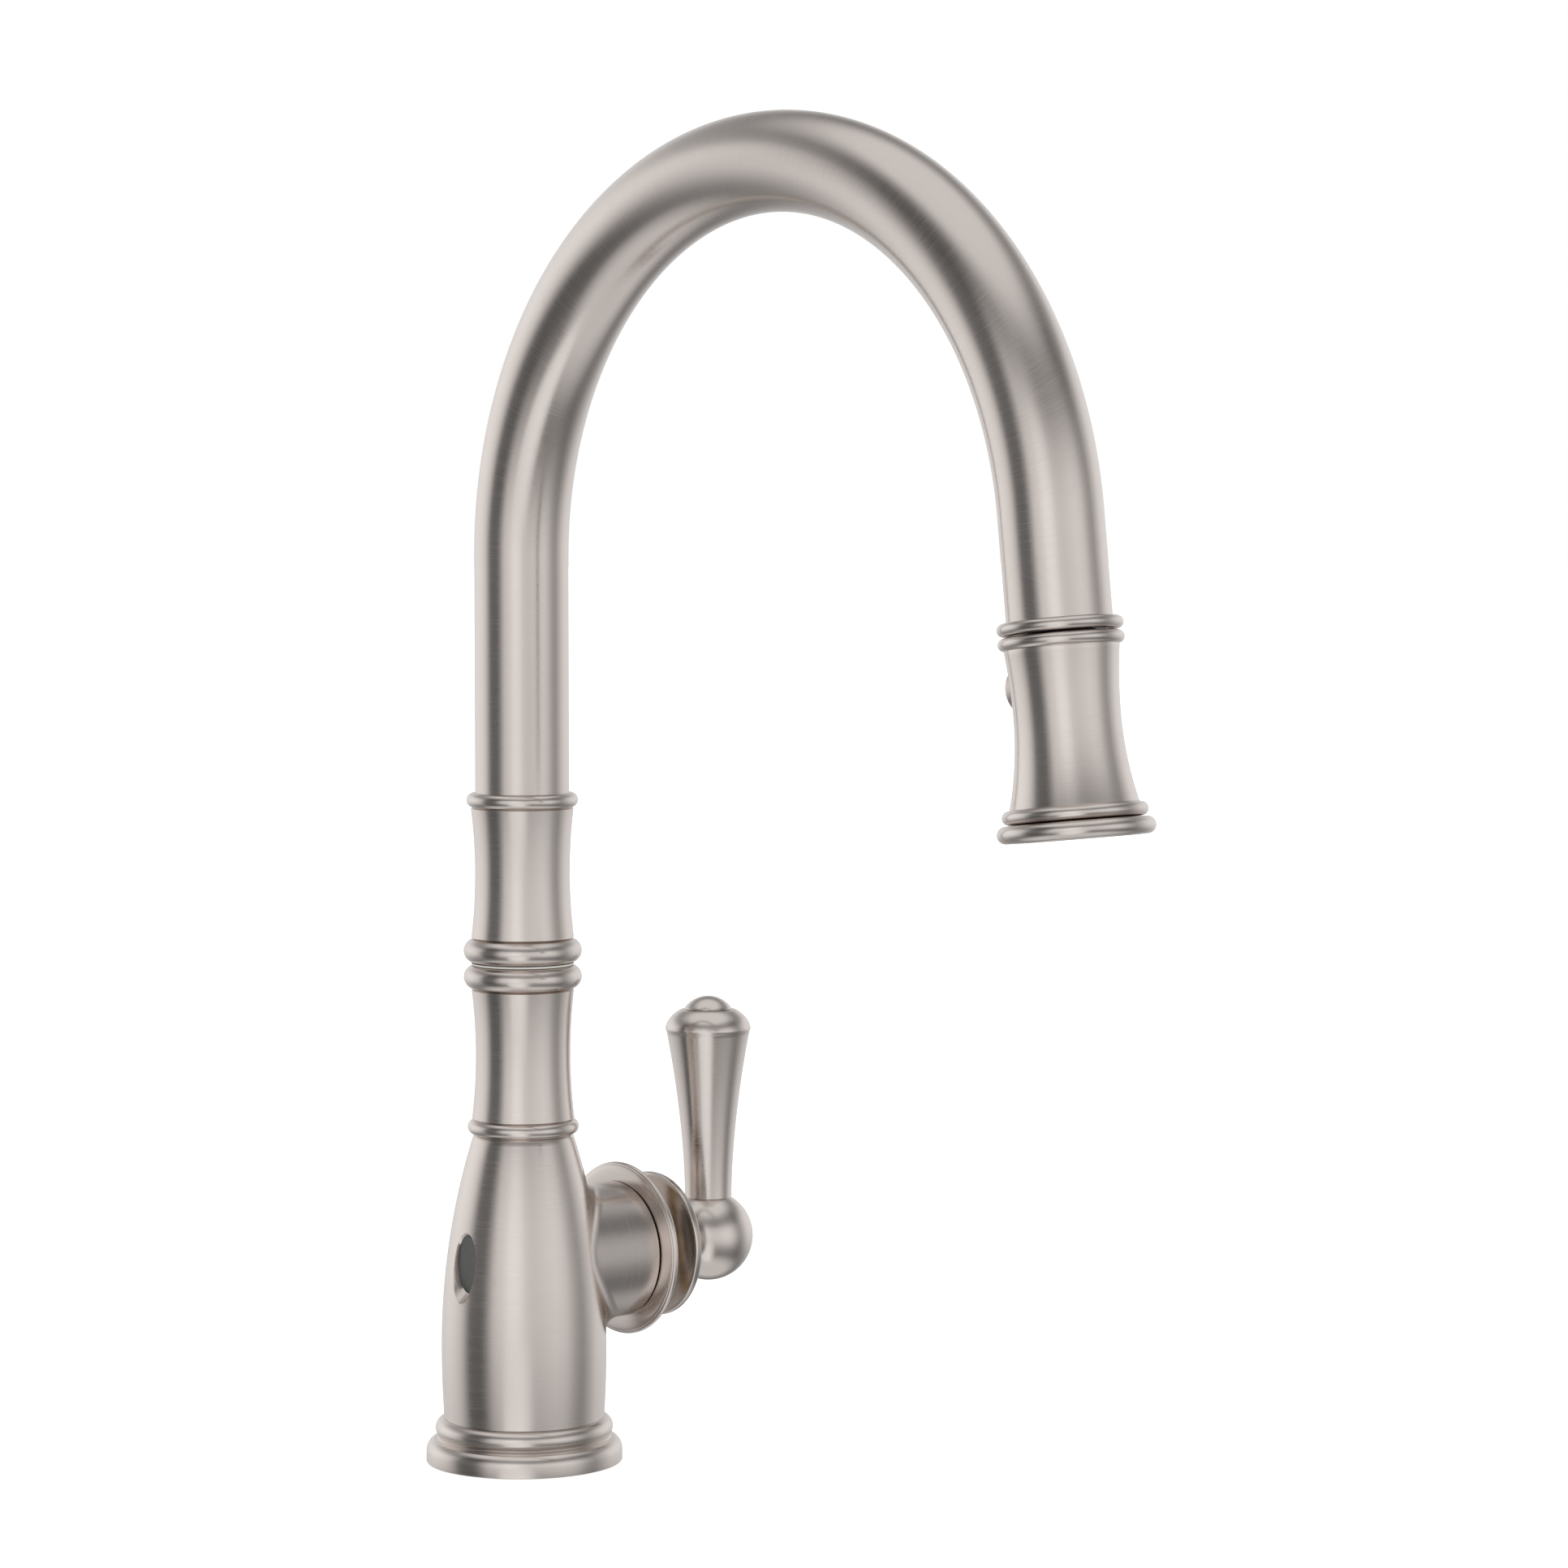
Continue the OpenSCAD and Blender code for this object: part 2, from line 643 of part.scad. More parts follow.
// Gooseneck tube
module spout_tube() {
    color("#b7aca6")
        gooseneck(tube_bore_r, tube_r, swivel_z + tube_foot_u + seat, bend_turn,
            dock_straight + collar_h - 0.4);
}

// Bead round the end of the tube
module dock_collar() {
    color("#b7aca6") at_dock(dock_straight) bead(collar_r, collar_h, tube_r + seat);
}

// Plastic guide inside the end of the tube
module dock_insert() {
    guide_l = 16;
    color("#2f2f2f") at_dock(dock_straight + collar_h - guide_l) difference() {
        ring(insert_bore_r, tube_bore_r - seat, guide_l);
        translate([0, 0, guide_l - 3.6]) ring(insert_bore_r + 0.9, tube_r, 4);
        translate([0, 0, -cut]) cylinder(h = 3.5 + cut, r1 = insert_bore_r + 3.2, r2 = insert_bore_r - 0.5);
    }
}

// Ring magnet that holds the wand
module dock_magnet() {
    color("#8c8f94") at_dock(dock_straight + collar_h - 3.5)
        ring(insert_bore_r + 0.95, tube_bore_r - 0.1, 3.4);
}

// Pull-out hose inside the spout, up to where the straight hose end takes over
module spout_hose() {
    color("#6f7174") gooseneck(0, hose_r, swivel_z + half_gap, bend_turn - 24, 0);
}

// Straight end of the hose that leaves the spout with the wand
module hose_tail() {
    color("#6f7174") at_dock(2 - tail_l) cylinder(h = tail_l, r = hose_r);
}

// Ferrule, nut and journal that the wand turns on
module hose_connector() {
    nose_l = 4;
    color("#9a9a98") at_dock() difference() {
        union() {
            translate([0, 0, -8]) cylinder(h = 22, r = 6.2);
            translate([0, 0, 13]) cylinder(h = wand_s - plug_l - 0.5 - 13, r = 8, $fn = 6);
            translate([0, 0, 13]) cylinder(h = wand_s + nose_l - 13, r = journal_r);
        }
        translate([0, 0, -8 - cut]) cylinder(h = 10 + cut, r = hose_r + seat);
        translate([0, 0, -cut]) cylinder(h = 2 * wand_s, r = 2.8);
        translate([0, 0, wand_s - 6]) ring(3.7, journal_r + cut, 1.9);
    }
}

// Seal on the journal
module connector_o_ring() {
    color("#262626") at_dock(wand_s - 5.05) o_ring(journal_r - 0.62, 0.6);
}

// Metal casing of the wand
module wand_shell() {
    end_u = wand_l - face_ring_h - 0.2;
    color("#b7aca6") at_dock(wand_s) difference() {
        turned(concat([[0, 0]], wand_points(), [[0, end_u]]));
        turned([[0, -cut], [plug_r + 0.1, -cut], [plug_r + 0.1, 2], [wand_cavity_r, 2],
            [wand_cavity_r, end_u - 12],
            [16, end_u - 5], [16, end_u + cut], [0, end_u + cut]]);
        translate([0, 0, -cut]) ring(insert_bore_r + 0.9, tube_bore_r - seat, 1.1 + cut);
        translate([0, 0, button_s - wand_s]) rotate([90, 0, 0]) cylinder(h = 30, r = button_r + free);
    }
}

// Steel ring that the magnet pulls on
module keeper_ring() {
    color("#8c8f94") at_dock(wand_s) ring(insert_bore_r + 0.95, tube_bore_r - 0.1, 1);
}

// Moulded waterway of the wand, with the plug that docks in the spout
module wand_core() {
    end_u = wand_l - face_ring_h - 0.2;
    color("#3a3a3a") at_dock(wand_s) difference() {
        turned([[0, -plug_l], [plug_r, -plug_l], [plug_r, 2.1], [wand_cavity_r - 0.2, 2.1],
            [wand_cavity_r - 0.2, end_u - 12], [15.8, end_u - 4.6], [0, end_u - 4.6]]);
        translate([0, 0, -plug_l - cut]) cylinder(h = plug_l + 8 + cut, r = journal_r + run);
        translate([0, 0, -cut]) cylinder(h = wand_l, r = 4);
        translate([0, 0, button_s - wand_s]) rotate([90, 0, 0]) translate([0, 0, -0.5])
            cylinder(h = 20, r = 5.2);
        translate([0, 0, button_s - wand_s]) rotate([90, 0, 0]) translate([0, 0, 10.6])
            cylinder(h = 20, r = button_r + free);
    }
}

// Check valve below the journal
module check_valve() {
    color("#d9d5cd") at_dock(wand_s + 4.4) ring(2, journal_r - 0.1, 3);
}

// Plate that spreads the water to the nozzles
module spray_base() {
    end_u = wand_l - face_ring_h - 0.2;
    color("#3a3a3a") at_dock(wand_s + end_u - 4.5) difference() {
        ring(aerator_r + 0.1, 15.8, 4.5);
        translate([0, 0, 2]) ring(nozzle_rings[0] - 2, nozzle_rings[1] + 1.2, 4);
    }
}

// Places one nozzle-sized child at each place of both circles
module each_nozzle() {
    for (k = [0:1]) for (i = [0:nozzle_counts[k] - 1])
        rotate([0, 0, 360 * i / nozzle_counts[k]]) translate([nozzle_rings[k], 0, 0]) children();
}

// Soft mat whose nozzles stand through the face plate
module nozzle_mat() {
    color("#3f4245") at_dock(wand_s + wand_l - face_ring_h - 0.1) {
        ring(aerator_r + 0.1, 15.9, 1);
        each_nozzle() cylinder(h = 4.3, r = nozzle_r, $fn = 24);
    }
}

// Face plate of the wand
module spray_plate() {
    color("#55585b") at_dock(wand_s + wand_l - face_ring_h + 1) difference() {
        ring(aerator_r + 0.1, plate_r, 2.6);
        translate([0, 0, -cut]) each_nozzle() cylinder(h = 6, r = nozzle_r + 0.1, $fn = 24);
    }
}

// Aerator in the middle of the face
module aerator() {
    face_u = wand_l - face_ring_h - 4.6;
    color("#8c8f94") at_dock(wand_s + face_u) difference() {
        cylinder(h = 8.2, r = aerator_r);
        for (i = [-3:3]) for (j = [-3:3]) if (i * i + j * j < 11)
            translate([1.6 * i - 0.6, 1.6 * j - 0.6, 7.2]) cube([1.2, 1.2, 2]);
    }
}

// Ring round the face of the wand
module face_ring() {
    color("#b7aca6") at_dock(wand_s + wand_l - face_ring_h) bead(face_ring_r, face_ring_h, plate_r + seat);
}

// Round push button that switches between stream and spray
module spray_button() {
    color("#b7aca6") at_dock(button_s) rotate([90, 0, 0]) turned([
        [0, 13.2], [button_r, 13.2], [button_r, 15.6], [button_r - 0.5, 16.4],
        [button_r - 1.6, 17], [button_r - 3.4, 17.4], [0, 17.6]
    ]);
}

// Sliding valve behind the button
module diverter_spool() {
    color("#d9d5cd") at_dock(button_s) rotate([90, 0, 0]) turned([
        [0, 5.6], [4.9, 5.6], [4.9, 7.2], [3.4, 7.2], [3.4, 9], [4.9, 9], [4.9, 10.4], [2.4, 10.4],
        [2.4, 13.15], [0, 13.15]
    ]);
}

// Coil spring that returns the button, swept along its helix
module button_spring() {
    turns = 3.5;
    steps = 56;
    sides = 6;
    wire = 0.35;
    coil_r = 3.4;
    rise = 4.9;
    points = [for (i = [0:steps]) for (j = [0:sides - 1])
        let (a = 360 * turns * i / steps, b = 360 * j / sides, r = coil_r + wire * cos(b))
        [r * cos(a), r * sin(a), rise * i / steps + wire * sin(b)]];
    walls = [for (i = [0:steps - 1]) for (j = [0:sides - 1])
        let (k = (j + 1) % sides) [sides * i + j, sides * i + k, sides * (i + 1) + k, sides * (i + 1) + j]];
    caps = [[for (j = [0:sides - 1]) sides - 1 - j], [for (j = [0:sides - 1]) sides * steps + j]];
    color("#9a9a98") at_dock(button_s) rotate([90, 0, 0]) translate([0, 0, 0.2])
        polyhedron(points, concat(walls, caps));
}

// Part of the cartridge that turns with the lever and carries its pivot pin
module carrier() {
    color("#c9c4ba") difference() {
        union() {
            on_handle_axis(carrier_x)
                cylinder(h = carrier_neck_x - carrier_x, r = cartridge_r - 1.8 - free, $fn = 96);
            on_handle_axis(carrier_neck_x - 0.5)
                cylinder(h = carrier_end_x - carrier_neck_x + 0.5, r = carrier_neck_r, $fn = 96);
        }
        translate([carrier_x - cut, -stem_w / 2 - free, handle_z - 6])
            cube([carrier_end_x - carrier_x + 2 * cut, stem_w + 2 * free, 12]);
        translate([pivot_x, 11, handle_z]) rotate([90, 0, 0]) cylinder(h = 22, r = 1.5 + seat);
    }
}

// Pivot pin of the stem
module stem_pin() {
    color("#9a9a98") translate([pivot_x, 10.6, handle_z]) rotate([90, 0, 0]) cylinder(h = 21.2, r = 1.5);
}

// Sliding ceramic disc with the slot that the foot of the stem drives
module moving_disc() {
    color("#f1efe8") difference() {
        on_handle_axis(moving_x) cylinder(h = moving_t, r = 12.4, $fn = 96);
        translate([moving_x + moving_t - 2.2, -3.1, handle_z - stem_foot_r - 0.15])
            cube([5, 6.2, 2 * stem_foot_r + 0.3]);
        on_handle_axis(moving_x - cut) cylinder(h = cut + 0.8, r = 6);
    }
}

// Square stem that turns and tilts with the lever
module stem() {
    end_x = socket_x - 0.5;
    color("#b08d3e") difference() {
        union() {
            translate([pivot_x - 4.8, -stem_w / 2, handle_z - stem_w / 2])
                cube([end_x - pivot_x + 4.8, stem_w, stem_w]);
            translate([foot_x, -2.5, handle_z - 1.1]) cube([3, 5, 2.2]);
            translate([foot_x, 2.7, handle_z]) rotate([90, 0, 0]) cylinder(h = 5.4, r = stem_foot_r);
        }
        translate([pivot_x, 10, handle_z]) rotate([90, 0, 0]) cylinder(h = 20, r = 1.5 + run);
    }
}

// Handle casting: coved skirt with its thin disc, neck and ball
module handle_hub() {
    disc_end = handle_disc_x + handle_disc_t - skirt_x;
    ball_u = ball_x - skirt_x;
    neck_a = asin(handle_neck_r / ball_r);
    color("#b7aca6") difference() {
        on_handle_axis(skirt_x) turned(concat(
            [[0, 0], [skirt_r, 0]],
            [for (i = [0:10]) let (a = 90 * i / 10)
                [skirt_r + (handle_disc_r - 0.5 - skirt_r) * (1 - cos(a)),
                    cove_x - skirt_x + cove_l * sin(a)]],
            arc_points(handle_disc_r - 0.6, disc_end - 0.6, 0.6, 0, 90, 4),
            [[handle_neck_r + 3, disc_end + 0.4]],
            arc_points(handle_neck_r + 3, disc_end + 3.4, 3, -90, -180, 6),
            arc_points(0, ball_u, ball_r, neck_a - 90, 90, 24)
        ));
        translate([skirt_x - cut, -stem_w / 2 - seat, handle_z - stem_w / 2 - seat])
            cube([socket_x - skirt_x + cut, stem_w + 2 * seat, stem_w + 2 * seat]);
        translate([ball_x, 0, handle_z + 12]) cylinder(h = 10, r = lever_foot_r + seat);
        translate([ball_x, 0, handle_z]) cylinder(h = 20, r = 3 + seat);
        translate([socket_x - 3, 0, handle_z - 20]) cylinder(h = 20, r = 2 + seat);
    }
}

// Tapered lever that flares towards its top
module lever_arm() {
    foot = 12 + seat;
    dome_l = 8.4;
    dome_cut = 6.6;
    color("#b7aca6") translate([ball_x, 0, handle_z]) difference() {
        turned(concat(
            [[0, foot]],
            [for (i = [0:16]) let (z = foot + (lever_l - foot) * i / 16)
                [lever_foot_r + (lever_r - lever_foot_r) * pow((z - foot) / (lever_l - foot), 1.75), z]],
            [for (i = [1:8]) let (z = dome_cut * i / 8)
                [lever_r * sqrt(1 - pow(z / dome_l, 2)), lever_l + z]],
            [[0, lever_l + dome_cut]]
        ));
        cylinder(h = 30, r = 3 + seat);
        translate([0, 0, lever_l]) cylinder(h = 20, r = 2.5 + seat);
    }
}

// Domed cap screwed into the top of the lever
module lever_finial() {
    dome_r = 7.5;
    dome_h = 3.9;
    round_r = bow_r(dome_r, dome_h);
    edge_a = asin(dome_r / round_r);
    color("#b7aca6") translate([ball_x, 0, handle_z + lever_l + 6.6 + seat]) turned(concat(
        [[0, -5], [2.5, -5], [2.5, 0], [dome_r, 0]],
        arc_points(0, dome_h + 0.2 - round_r, round_r, 90 - edge_a, 90, 8)
    ));
}

// Threaded stud that joins ball and lever
module lever_stud() {
    color("#9a9a98") translate([ball_x, 0, handle_z + 1]) cylinder(h = 28, r = 3);
}

// Screw that clamps the handle on the stem
module grub_screw() {
    color("#4c4c4e") translate([socket_x - 3, 0, handle_z]) difference() {
        translate([0, 0, -handle_neck_r + 0.4]) cylinder(h = handle_neck_r - 0.4 - stem_w / 2 - seat, r = 2);
        translate([0, 0, -handle_neck_r - cut]) cylinder(h = 3.4, r = 1.1, $fn = 6);
    }
}

deck_gasket();
base_flange();
body_shell();
port_block();
port_o_rings();
block_screws();
shank();
mounting_seal();
mounting_washer();
mounting_nut();
hose_riser();
hose_coupling();
lower_column();
swivel_spindle();
swivel_washer();
spindle_o_ring();
spindle_clip();
cartridge_seals();
cartridge_housing();
cartridge_cap();
fixed_disc();
cartridge_nut();
bonnet();
sensor_seal();
sensor_lens();
sensor_module();
upper_column();
lower_bush();
upper_bush();
stop_pin();
spout_tube();
dock_collar();
dock_insert();
dock_magnet();
spout_hose();
hose_tail();
hose_connector();
connector_o_ring();
wand_shell();
keeper_ring();
wand_core();
check_valve();
spray_base();
nozzle_mat();
spray_plate();
aerator();
face_ring();
spray_button();
diverter_spool();
button_spring();
carrier();
stem_pin();
moving_disc();
stem();
handle_hub();
lever_arm();
lever_finial();
lever_stud();
grub_screw();
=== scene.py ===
import json
import math
import bpy
import bmesh
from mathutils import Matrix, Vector


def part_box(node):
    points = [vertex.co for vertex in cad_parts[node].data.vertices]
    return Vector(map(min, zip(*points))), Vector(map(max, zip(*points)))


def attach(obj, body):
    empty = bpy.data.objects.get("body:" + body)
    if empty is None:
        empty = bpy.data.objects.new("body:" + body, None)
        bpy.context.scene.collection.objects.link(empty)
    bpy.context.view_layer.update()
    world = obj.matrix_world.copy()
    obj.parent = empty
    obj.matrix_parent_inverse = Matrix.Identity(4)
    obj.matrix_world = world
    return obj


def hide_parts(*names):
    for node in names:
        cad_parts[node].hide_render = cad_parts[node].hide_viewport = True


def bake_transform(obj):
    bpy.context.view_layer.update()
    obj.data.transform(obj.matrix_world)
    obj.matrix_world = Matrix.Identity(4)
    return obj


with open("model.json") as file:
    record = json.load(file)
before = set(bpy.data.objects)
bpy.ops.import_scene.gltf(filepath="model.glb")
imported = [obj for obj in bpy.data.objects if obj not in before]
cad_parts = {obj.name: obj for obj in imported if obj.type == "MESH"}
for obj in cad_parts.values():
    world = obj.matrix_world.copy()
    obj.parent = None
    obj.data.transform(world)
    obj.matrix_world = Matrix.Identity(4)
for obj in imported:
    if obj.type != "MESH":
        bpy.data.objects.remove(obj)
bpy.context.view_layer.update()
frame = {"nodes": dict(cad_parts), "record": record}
joints = {joint["name"]: joint for joint in frame["record"]["behaviour"]["joints"]}
mm = 0.001


def deselectAll():
    for item in list(bpy.context.selected_objects):
        item.select_set(False)
    bpy.context.view_layer.objects.active = None


def spot(name):  # low corner, high corner and middle of a CAD node
    low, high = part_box(name)
    return low, high, (low + high) / 2


# Shader maths: a Value is a socket that can be added, multiplied and so on

class Value:
    def __init__(self, graph, socket):
        self.graph = graph
        self.socket = socket

    def maths(self, operation, *others):
        inputs = dict(enumerate((self,) + others))
        return self.graph.add("ShaderNodeMath", {"operation": operation}, inputs)

    def __add__(self, other):
        return self.maths("ADD", other)

    def __radd__(self, other):
        return self.maths("ADD", other)

    def __sub__(self, other):
        return self.maths("SUBTRACT", other)

    def __mul__(self, other):
        return self.maths("MULTIPLY", other)

    def __rmul__(self, other):
        return self.maths("MULTIPLY", other)

    def __rsub__(self, other):
        return self.graph.add("ShaderNodeMath", {"operation": "SUBTRACT"}, {0: other, 1: self})

    def __getitem__(self, place):  # x, y or z of a vector
        split = self.graph.node("ShaderNodeSeparateXYZ", {}, {0: self})
        return Value(self.graph, split.outputs[place])


class Graph:
    def __init__(self, tree):
        self.tree = tree
        tree.nodes.clear()

    def node(self, kind, settings, inputs):
        made = self.tree.nodes.new(kind)
        for key, setting in settings.items():
            if key == "stops":
                ramp = made.color_ramp
                while len(ramp.elements) < len(setting):
                    ramp.elements.new(0.5)
                for element, (place, shade) in zip(ramp.elements, setting):
                    element.position = place
                    element.color = (shade, shade, shade, 1)
            else:
                setattr(made, key, setting)
        for key, value in inputs.items():
            if isinstance(value, Value):
                self.tree.links.new(value.socket, made.inputs[key])
            else:
                made.inputs[key].default_value = value
        return made

    def add(self, kind, settings, inputs, out=0):
        return Value(self, self.node(kind, settings, inputs).outputs[out])

    def vector(self, operation, *parts, out=0):
        inputs = dict(enumerate(parts))
        return self.add("ShaderNodeVectorMath", {"operation": operation}, inputs, out)

    def scaled(self, vector, factor):
        return self.add("ShaderNodeVectorMath", {"operation": "SCALE"}, {0: vector, "Scale": factor})

    def tint(self, factor, colorA, colorB):
        return self.add("ShaderNodeMix", {"data_type": "RGBA"}, {0: factor, 6: colorA, 7: colorB}, 2)

    def noise(self, vector, scale, detail=2.0, roughness=0.5):
        return self.add("ShaderNodeTexNoise", {},
                        {"Vector": vector, "Scale": scale, "Detail": detail, "Roughness": roughness})

    def bump(self, height, strength, distance):
        return self.add("ShaderNodeBump", {},
                        {"Height": height, "Strength": strength, "Distance": distance})

    def place(self):
        return self.add("ShaderNodeTexCoord", {}, {}, 3)

    def surface(self, **sockets):
        named = {key.replace("_", " "): value for key, value in sockets.items()}
        shader = self.add("ShaderNodeBsdfPrincipled", {}, named)
        self.node("ShaderNodeOutputMaterial", {}, {0: shader})


def newMaterial(name):
    material = bpy.data.materials.new(name)
    material.use_nodes = True
    return material, Graph(material.node_tree)


satinNickel = {
    "color": (0.735, 0.675, 0.638, 1),
    "shade": (0.665, 0.605, 0.570, 1),
    "roughness": 0.205,
    "lines": 3600,      # brush lines per metre across the grain
    "length": 70,       # how fast a line changes along the grain
}


def nickelSurface(graph, grain, place):
    lines = graph.noise(grain, 1.0, 3.0, 0.65)
    cloud = graph.noise(place, 55.0, 2.0)
    tone = lines * 0.55 + cloud * 0.45
    spread = graph.add("ShaderNodeMapRange", {},
                       {"Value": lines, "From Min": 0.3, "From Max": 0.7, "To Min": -0.05, "To Max": 0.07})
    color = graph.tint(tone, satinNickel["shade"], satinNickel["color"])
    graph.surface(
        Base_Color=color, Metallic=1.0,
        Roughness=spread + satinNickel["roughness"],
        Normal=graph.bump(lines, 0.22, 0.00005))


def turnedNickel(name, middle, axis):  # brushed round an axis, as on a lathe
    material, graph = newMaterial(name)
    place = graph.place()
    offset = graph.vector("SUBTRACT", place, tuple(middle))
    along = graph.vector("DOT_PRODUCT", offset, tuple(axis), out=1)
    outward = graph.vector("SUBTRACT", offset, graph.scaled(tuple(axis), along))
    radius = graph.vector("LENGTH", outward, out=1)
    across = (along + radius) * satinNickel["lines"]
    along = graph.scaled(outward, satinNickel["length"])
    grain = graph.vector("ADD", along, graph.scaled(tuple(axis), across))
    nickelSurface(graph, grain, place)
    return material


def tubeNickel(name, middle, radius):  # fine slanting lines round the bent tube
    material, graph = newMaterial(name)
    place = graph.place()
    offset = graph.vector("SUBTRACT", place, tuple(middle))
    x, y, z = offset[0], offset[1], offset[2]
    straight = z.maths("LESS_THAN", 0.0) * y.maths("GREATER_THAN", 0.0)
    turn = (1 - straight) * z.maths("ARCTAN2", y)
    run = straight * z + turn * radius
    reach = straight * y + (1 - straight) * (y * y + z * z).maths("SQRT")
    slant = (run + x * turn.maths("MINIMUM", 1.0) * 0.35) * satinNickel["lines"] * 0.9
    grain = graph.add("ShaderNodeCombineXYZ", {}, {0: x * 80.0, 1: reach * 80.0, 2: slant})
    nickelSurface(graph, grain, place)
    return material


def plainMaterial(name, color, metallic, roughness, grainScale, depth, worn=0.85):
    material, graph = newMaterial(name)
    place = graph.place()
    fine = graph.noise(place, grainScale, 3.0, 0.6)
    broad = graph.noise(place, 60.0, 2.0)
    dark = tuple(c * worn for c in color[:3]) + (1,)
    graph.surface(
        Base_Color=graph.tint(broad, dark, color), Metallic=metallic,
        Roughness=roughness + (fine - 0.5) * 0.16,
        Normal=graph.bump(fine, 0.25, depth))
    return material


def threadedMetal(name, color, roughness, pitch, low, high):  # a cut thread between two heights
    material, graph = newMaterial(name)
    place = graph.place()
    x, y, z = place[0], place[1], place[2]
    phase = z * (1 / pitch) + y.maths("ARCTAN2", x) * (0.5 / math.pi)
    wave = phase.maths("PINGPONG", 0.5) * 2.0
    inside = z.maths("GREATER_THAN", low) * z.maths("LESS_THAN", high)
    wear = graph.noise(place, 900.0, 3.0)
    # painted shade: the thread's grooves are darkened in colour, down to 0.55 of the metal's own colour,
    # following the same wave that the bump cuts
    shade = tuple(c * 0.55 for c in color[:3]) + (1,)
    graph.surface(
        Base_Color=graph.tint(wave * inside + (1 - inside), shade, color), Metallic=1.0,
        Roughness=roughness + (wear - 0.5) * 0.2,
        Normal=graph.bump(wave * inside, 0.9, pitch * 0.5))
    return material


def braidMaterial(name, color):  # crossing strands that follow the hose's own map
    material, graph = newMaterial(name)
    uv = graph.add("ShaderNodeTexCoord", {}, {}, 2)
    u, v = uv[0] * (12 * 2 * math.pi), uv[1] * 2600.0
    left, right = (u + v).maths("SINE"), (u - v).maths("SINE")
    over = left.maths("MAXIMUM", right)
    strand = over * 0.5 + 0.5
    # painted shade: the hollows between the crossing strands are darkened in colour, down to a quarter of
    # the braid's own colour, following the bump
    dark = tuple(c * 0.25 for c in color[:3]) + (1,)
    graph.surface(
        Base_Color=graph.tint(strand, dark, color), Metallic=0.0,
        Roughness=0.62 - strand * 0.18, Normal=graph.bump(strand, 0.8, 0.0006))
    return material


def lensMaterial(name):
    material, graph = newMaterial(name)
    place = graph.place()
    haze = graph.noise(place, 400.0, 2.0)
    graph.surface(
        Base_Color=graph.tint(haze, (0.060, 0.061, 0.058, 1), (0.082, 0.083, 0.079, 1)),
        Roughness=0.22 + haze * 0.06, Normal=graph.bump(haze, 0.05, 0.0001))
    return material


# Shapes, worked by hand in edit mode

def arc(middleR, middleU, radius, start, end, steps=10):
    turns = [math.radians(start + (end - start) * i / steps) for i in range(steps + 1)]
    return [(middleR + radius * math.cos(a), middleU + radius * math.sin(a)) for a in turns]


def bow(u0, u1, r0, r1, steps=24):  # r0 at u0, swelling along a circle to r1 at u1
    run, rise = abs(u1 - u0), r1 - r0
    circle = (run * run + rise * rise) / (2 * rise)
    ts = [run * i / steps for i in range(steps + 1)]
    sign = 1 if u1 > u0 else -1
    edge = [circle - math.copysign(math.sqrt(circle * circle - t * t), circle) for t in ts]
    return [(r0 + e, u0 + sign * t) for e, t in zip(edge, ts)]


def settle(piece, name, angle=32):
    bpy.ops.object.mode_set(mode="OBJECT")
    piece.name = name
    piece.data.name = name
    bpy.ops.object.shade_smooth_by_angle(angle=math.radians(angle))
    return piece


def dotMesh():  # a mesh of one point at the origin, in edit mode
    deselectAll()
    bpy.ops.mesh.primitive_plane_add(size=mm, location=(0, 0, 0))
    bpy.ops.object.mode_set(mode="EDIT")
    bpy.ops.mesh.select_all(action="SELECT")
    bpy.ops.mesh.merge(type="CENTER")
    return bpy.context.active_object


def turned(name, middle, axis, outline, steps=144, angle=32):
    # outline: (radius, distance along the axis) in mm, from the axis back to it or to its first point
    axis = Vector(axis).normalized()
    side = axis.orthogonal().normalized()
    points = [Vector(middle) + axis * (u * mm) + side * (r * mm) for r, u in outline]
    piece = dotMesh()
    bpy.ops.transform.translate(value=points[0])
    for last, point in zip(points, points[1:]):
        bpy.ops.mesh.extrude_vertices_move(TRANSFORM_OT_translate={"value": point - last})
    bpy.ops.mesh.select_all(action="SELECT")
    bpy.ops.mesh.spin(steps=steps, angle=2 * math.pi, center=middle, axis=axis)
    bpy.ops.mesh.select_all(action="SELECT")
    bpy.ops.mesh.remove_doubles(threshold=2e-6)
    bpy.ops.mesh.normals_make_consistent(inside=False)
    return settle(piece, name, angle)


def dress(piece, material, body, slot, *replaced):
    piece.data.materials.clear()
    piece.data.materials.append(material)
    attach(piece, body)
    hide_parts(*replaced)
    return piece


# Base flange and the two halves of the column, turned about Z

up = Vector((0, 0, 1))
standNickel = turnedNickel("standNickel", (0, 0, 0), up)
flangeHigh = spot("base_flange")[1]
flange = {
    "radius": flangeHigh.x / mm,
    "height": flangeHigh.z / mm,
    "band": 3.2,
    "crease": 6.9,
    "beadRadius": 27.15,
    "bore": 21.6,
    "topInner": 24.4,   # where the flat top starts
}


def makeFlange():
    f = flange
    step = f["beadRadius"] - 0.25
    bead = (f["height"] - f["crease"] - 0.25) / 2
    ovolo = [(step + (f["radius"] - step) * math.cos(math.radians(a)),
              f["band"] + (f["crease"] - f["band"]) * math.sin(math.radians(a))) for a in range(0, 91, 6)]
    rim = arc(f["radius"] - 0.25, 0.25, 0.25, -90, 0, 4)
    top = [(step - 0.45, f["crease"] + 0.12), (step - 0.72, f["crease"] + 0.45)]
    top += arc(f["beadRadius"] - bead, f["crease"] + 0.25 + bead, bead, -42, 90, 20)
    outline = [(f["bore"], 0)] + rim + ovolo + top
    outline += [(f["topInner"], f["height"]), (f["bore"], f["height"]), (f["bore"], 0)]
    piece = turned("baseFlange", (0, 0, 0), up, outline, 160, 40)
    return dress(piece, standNickel, "body", "nickel", "base_flange")


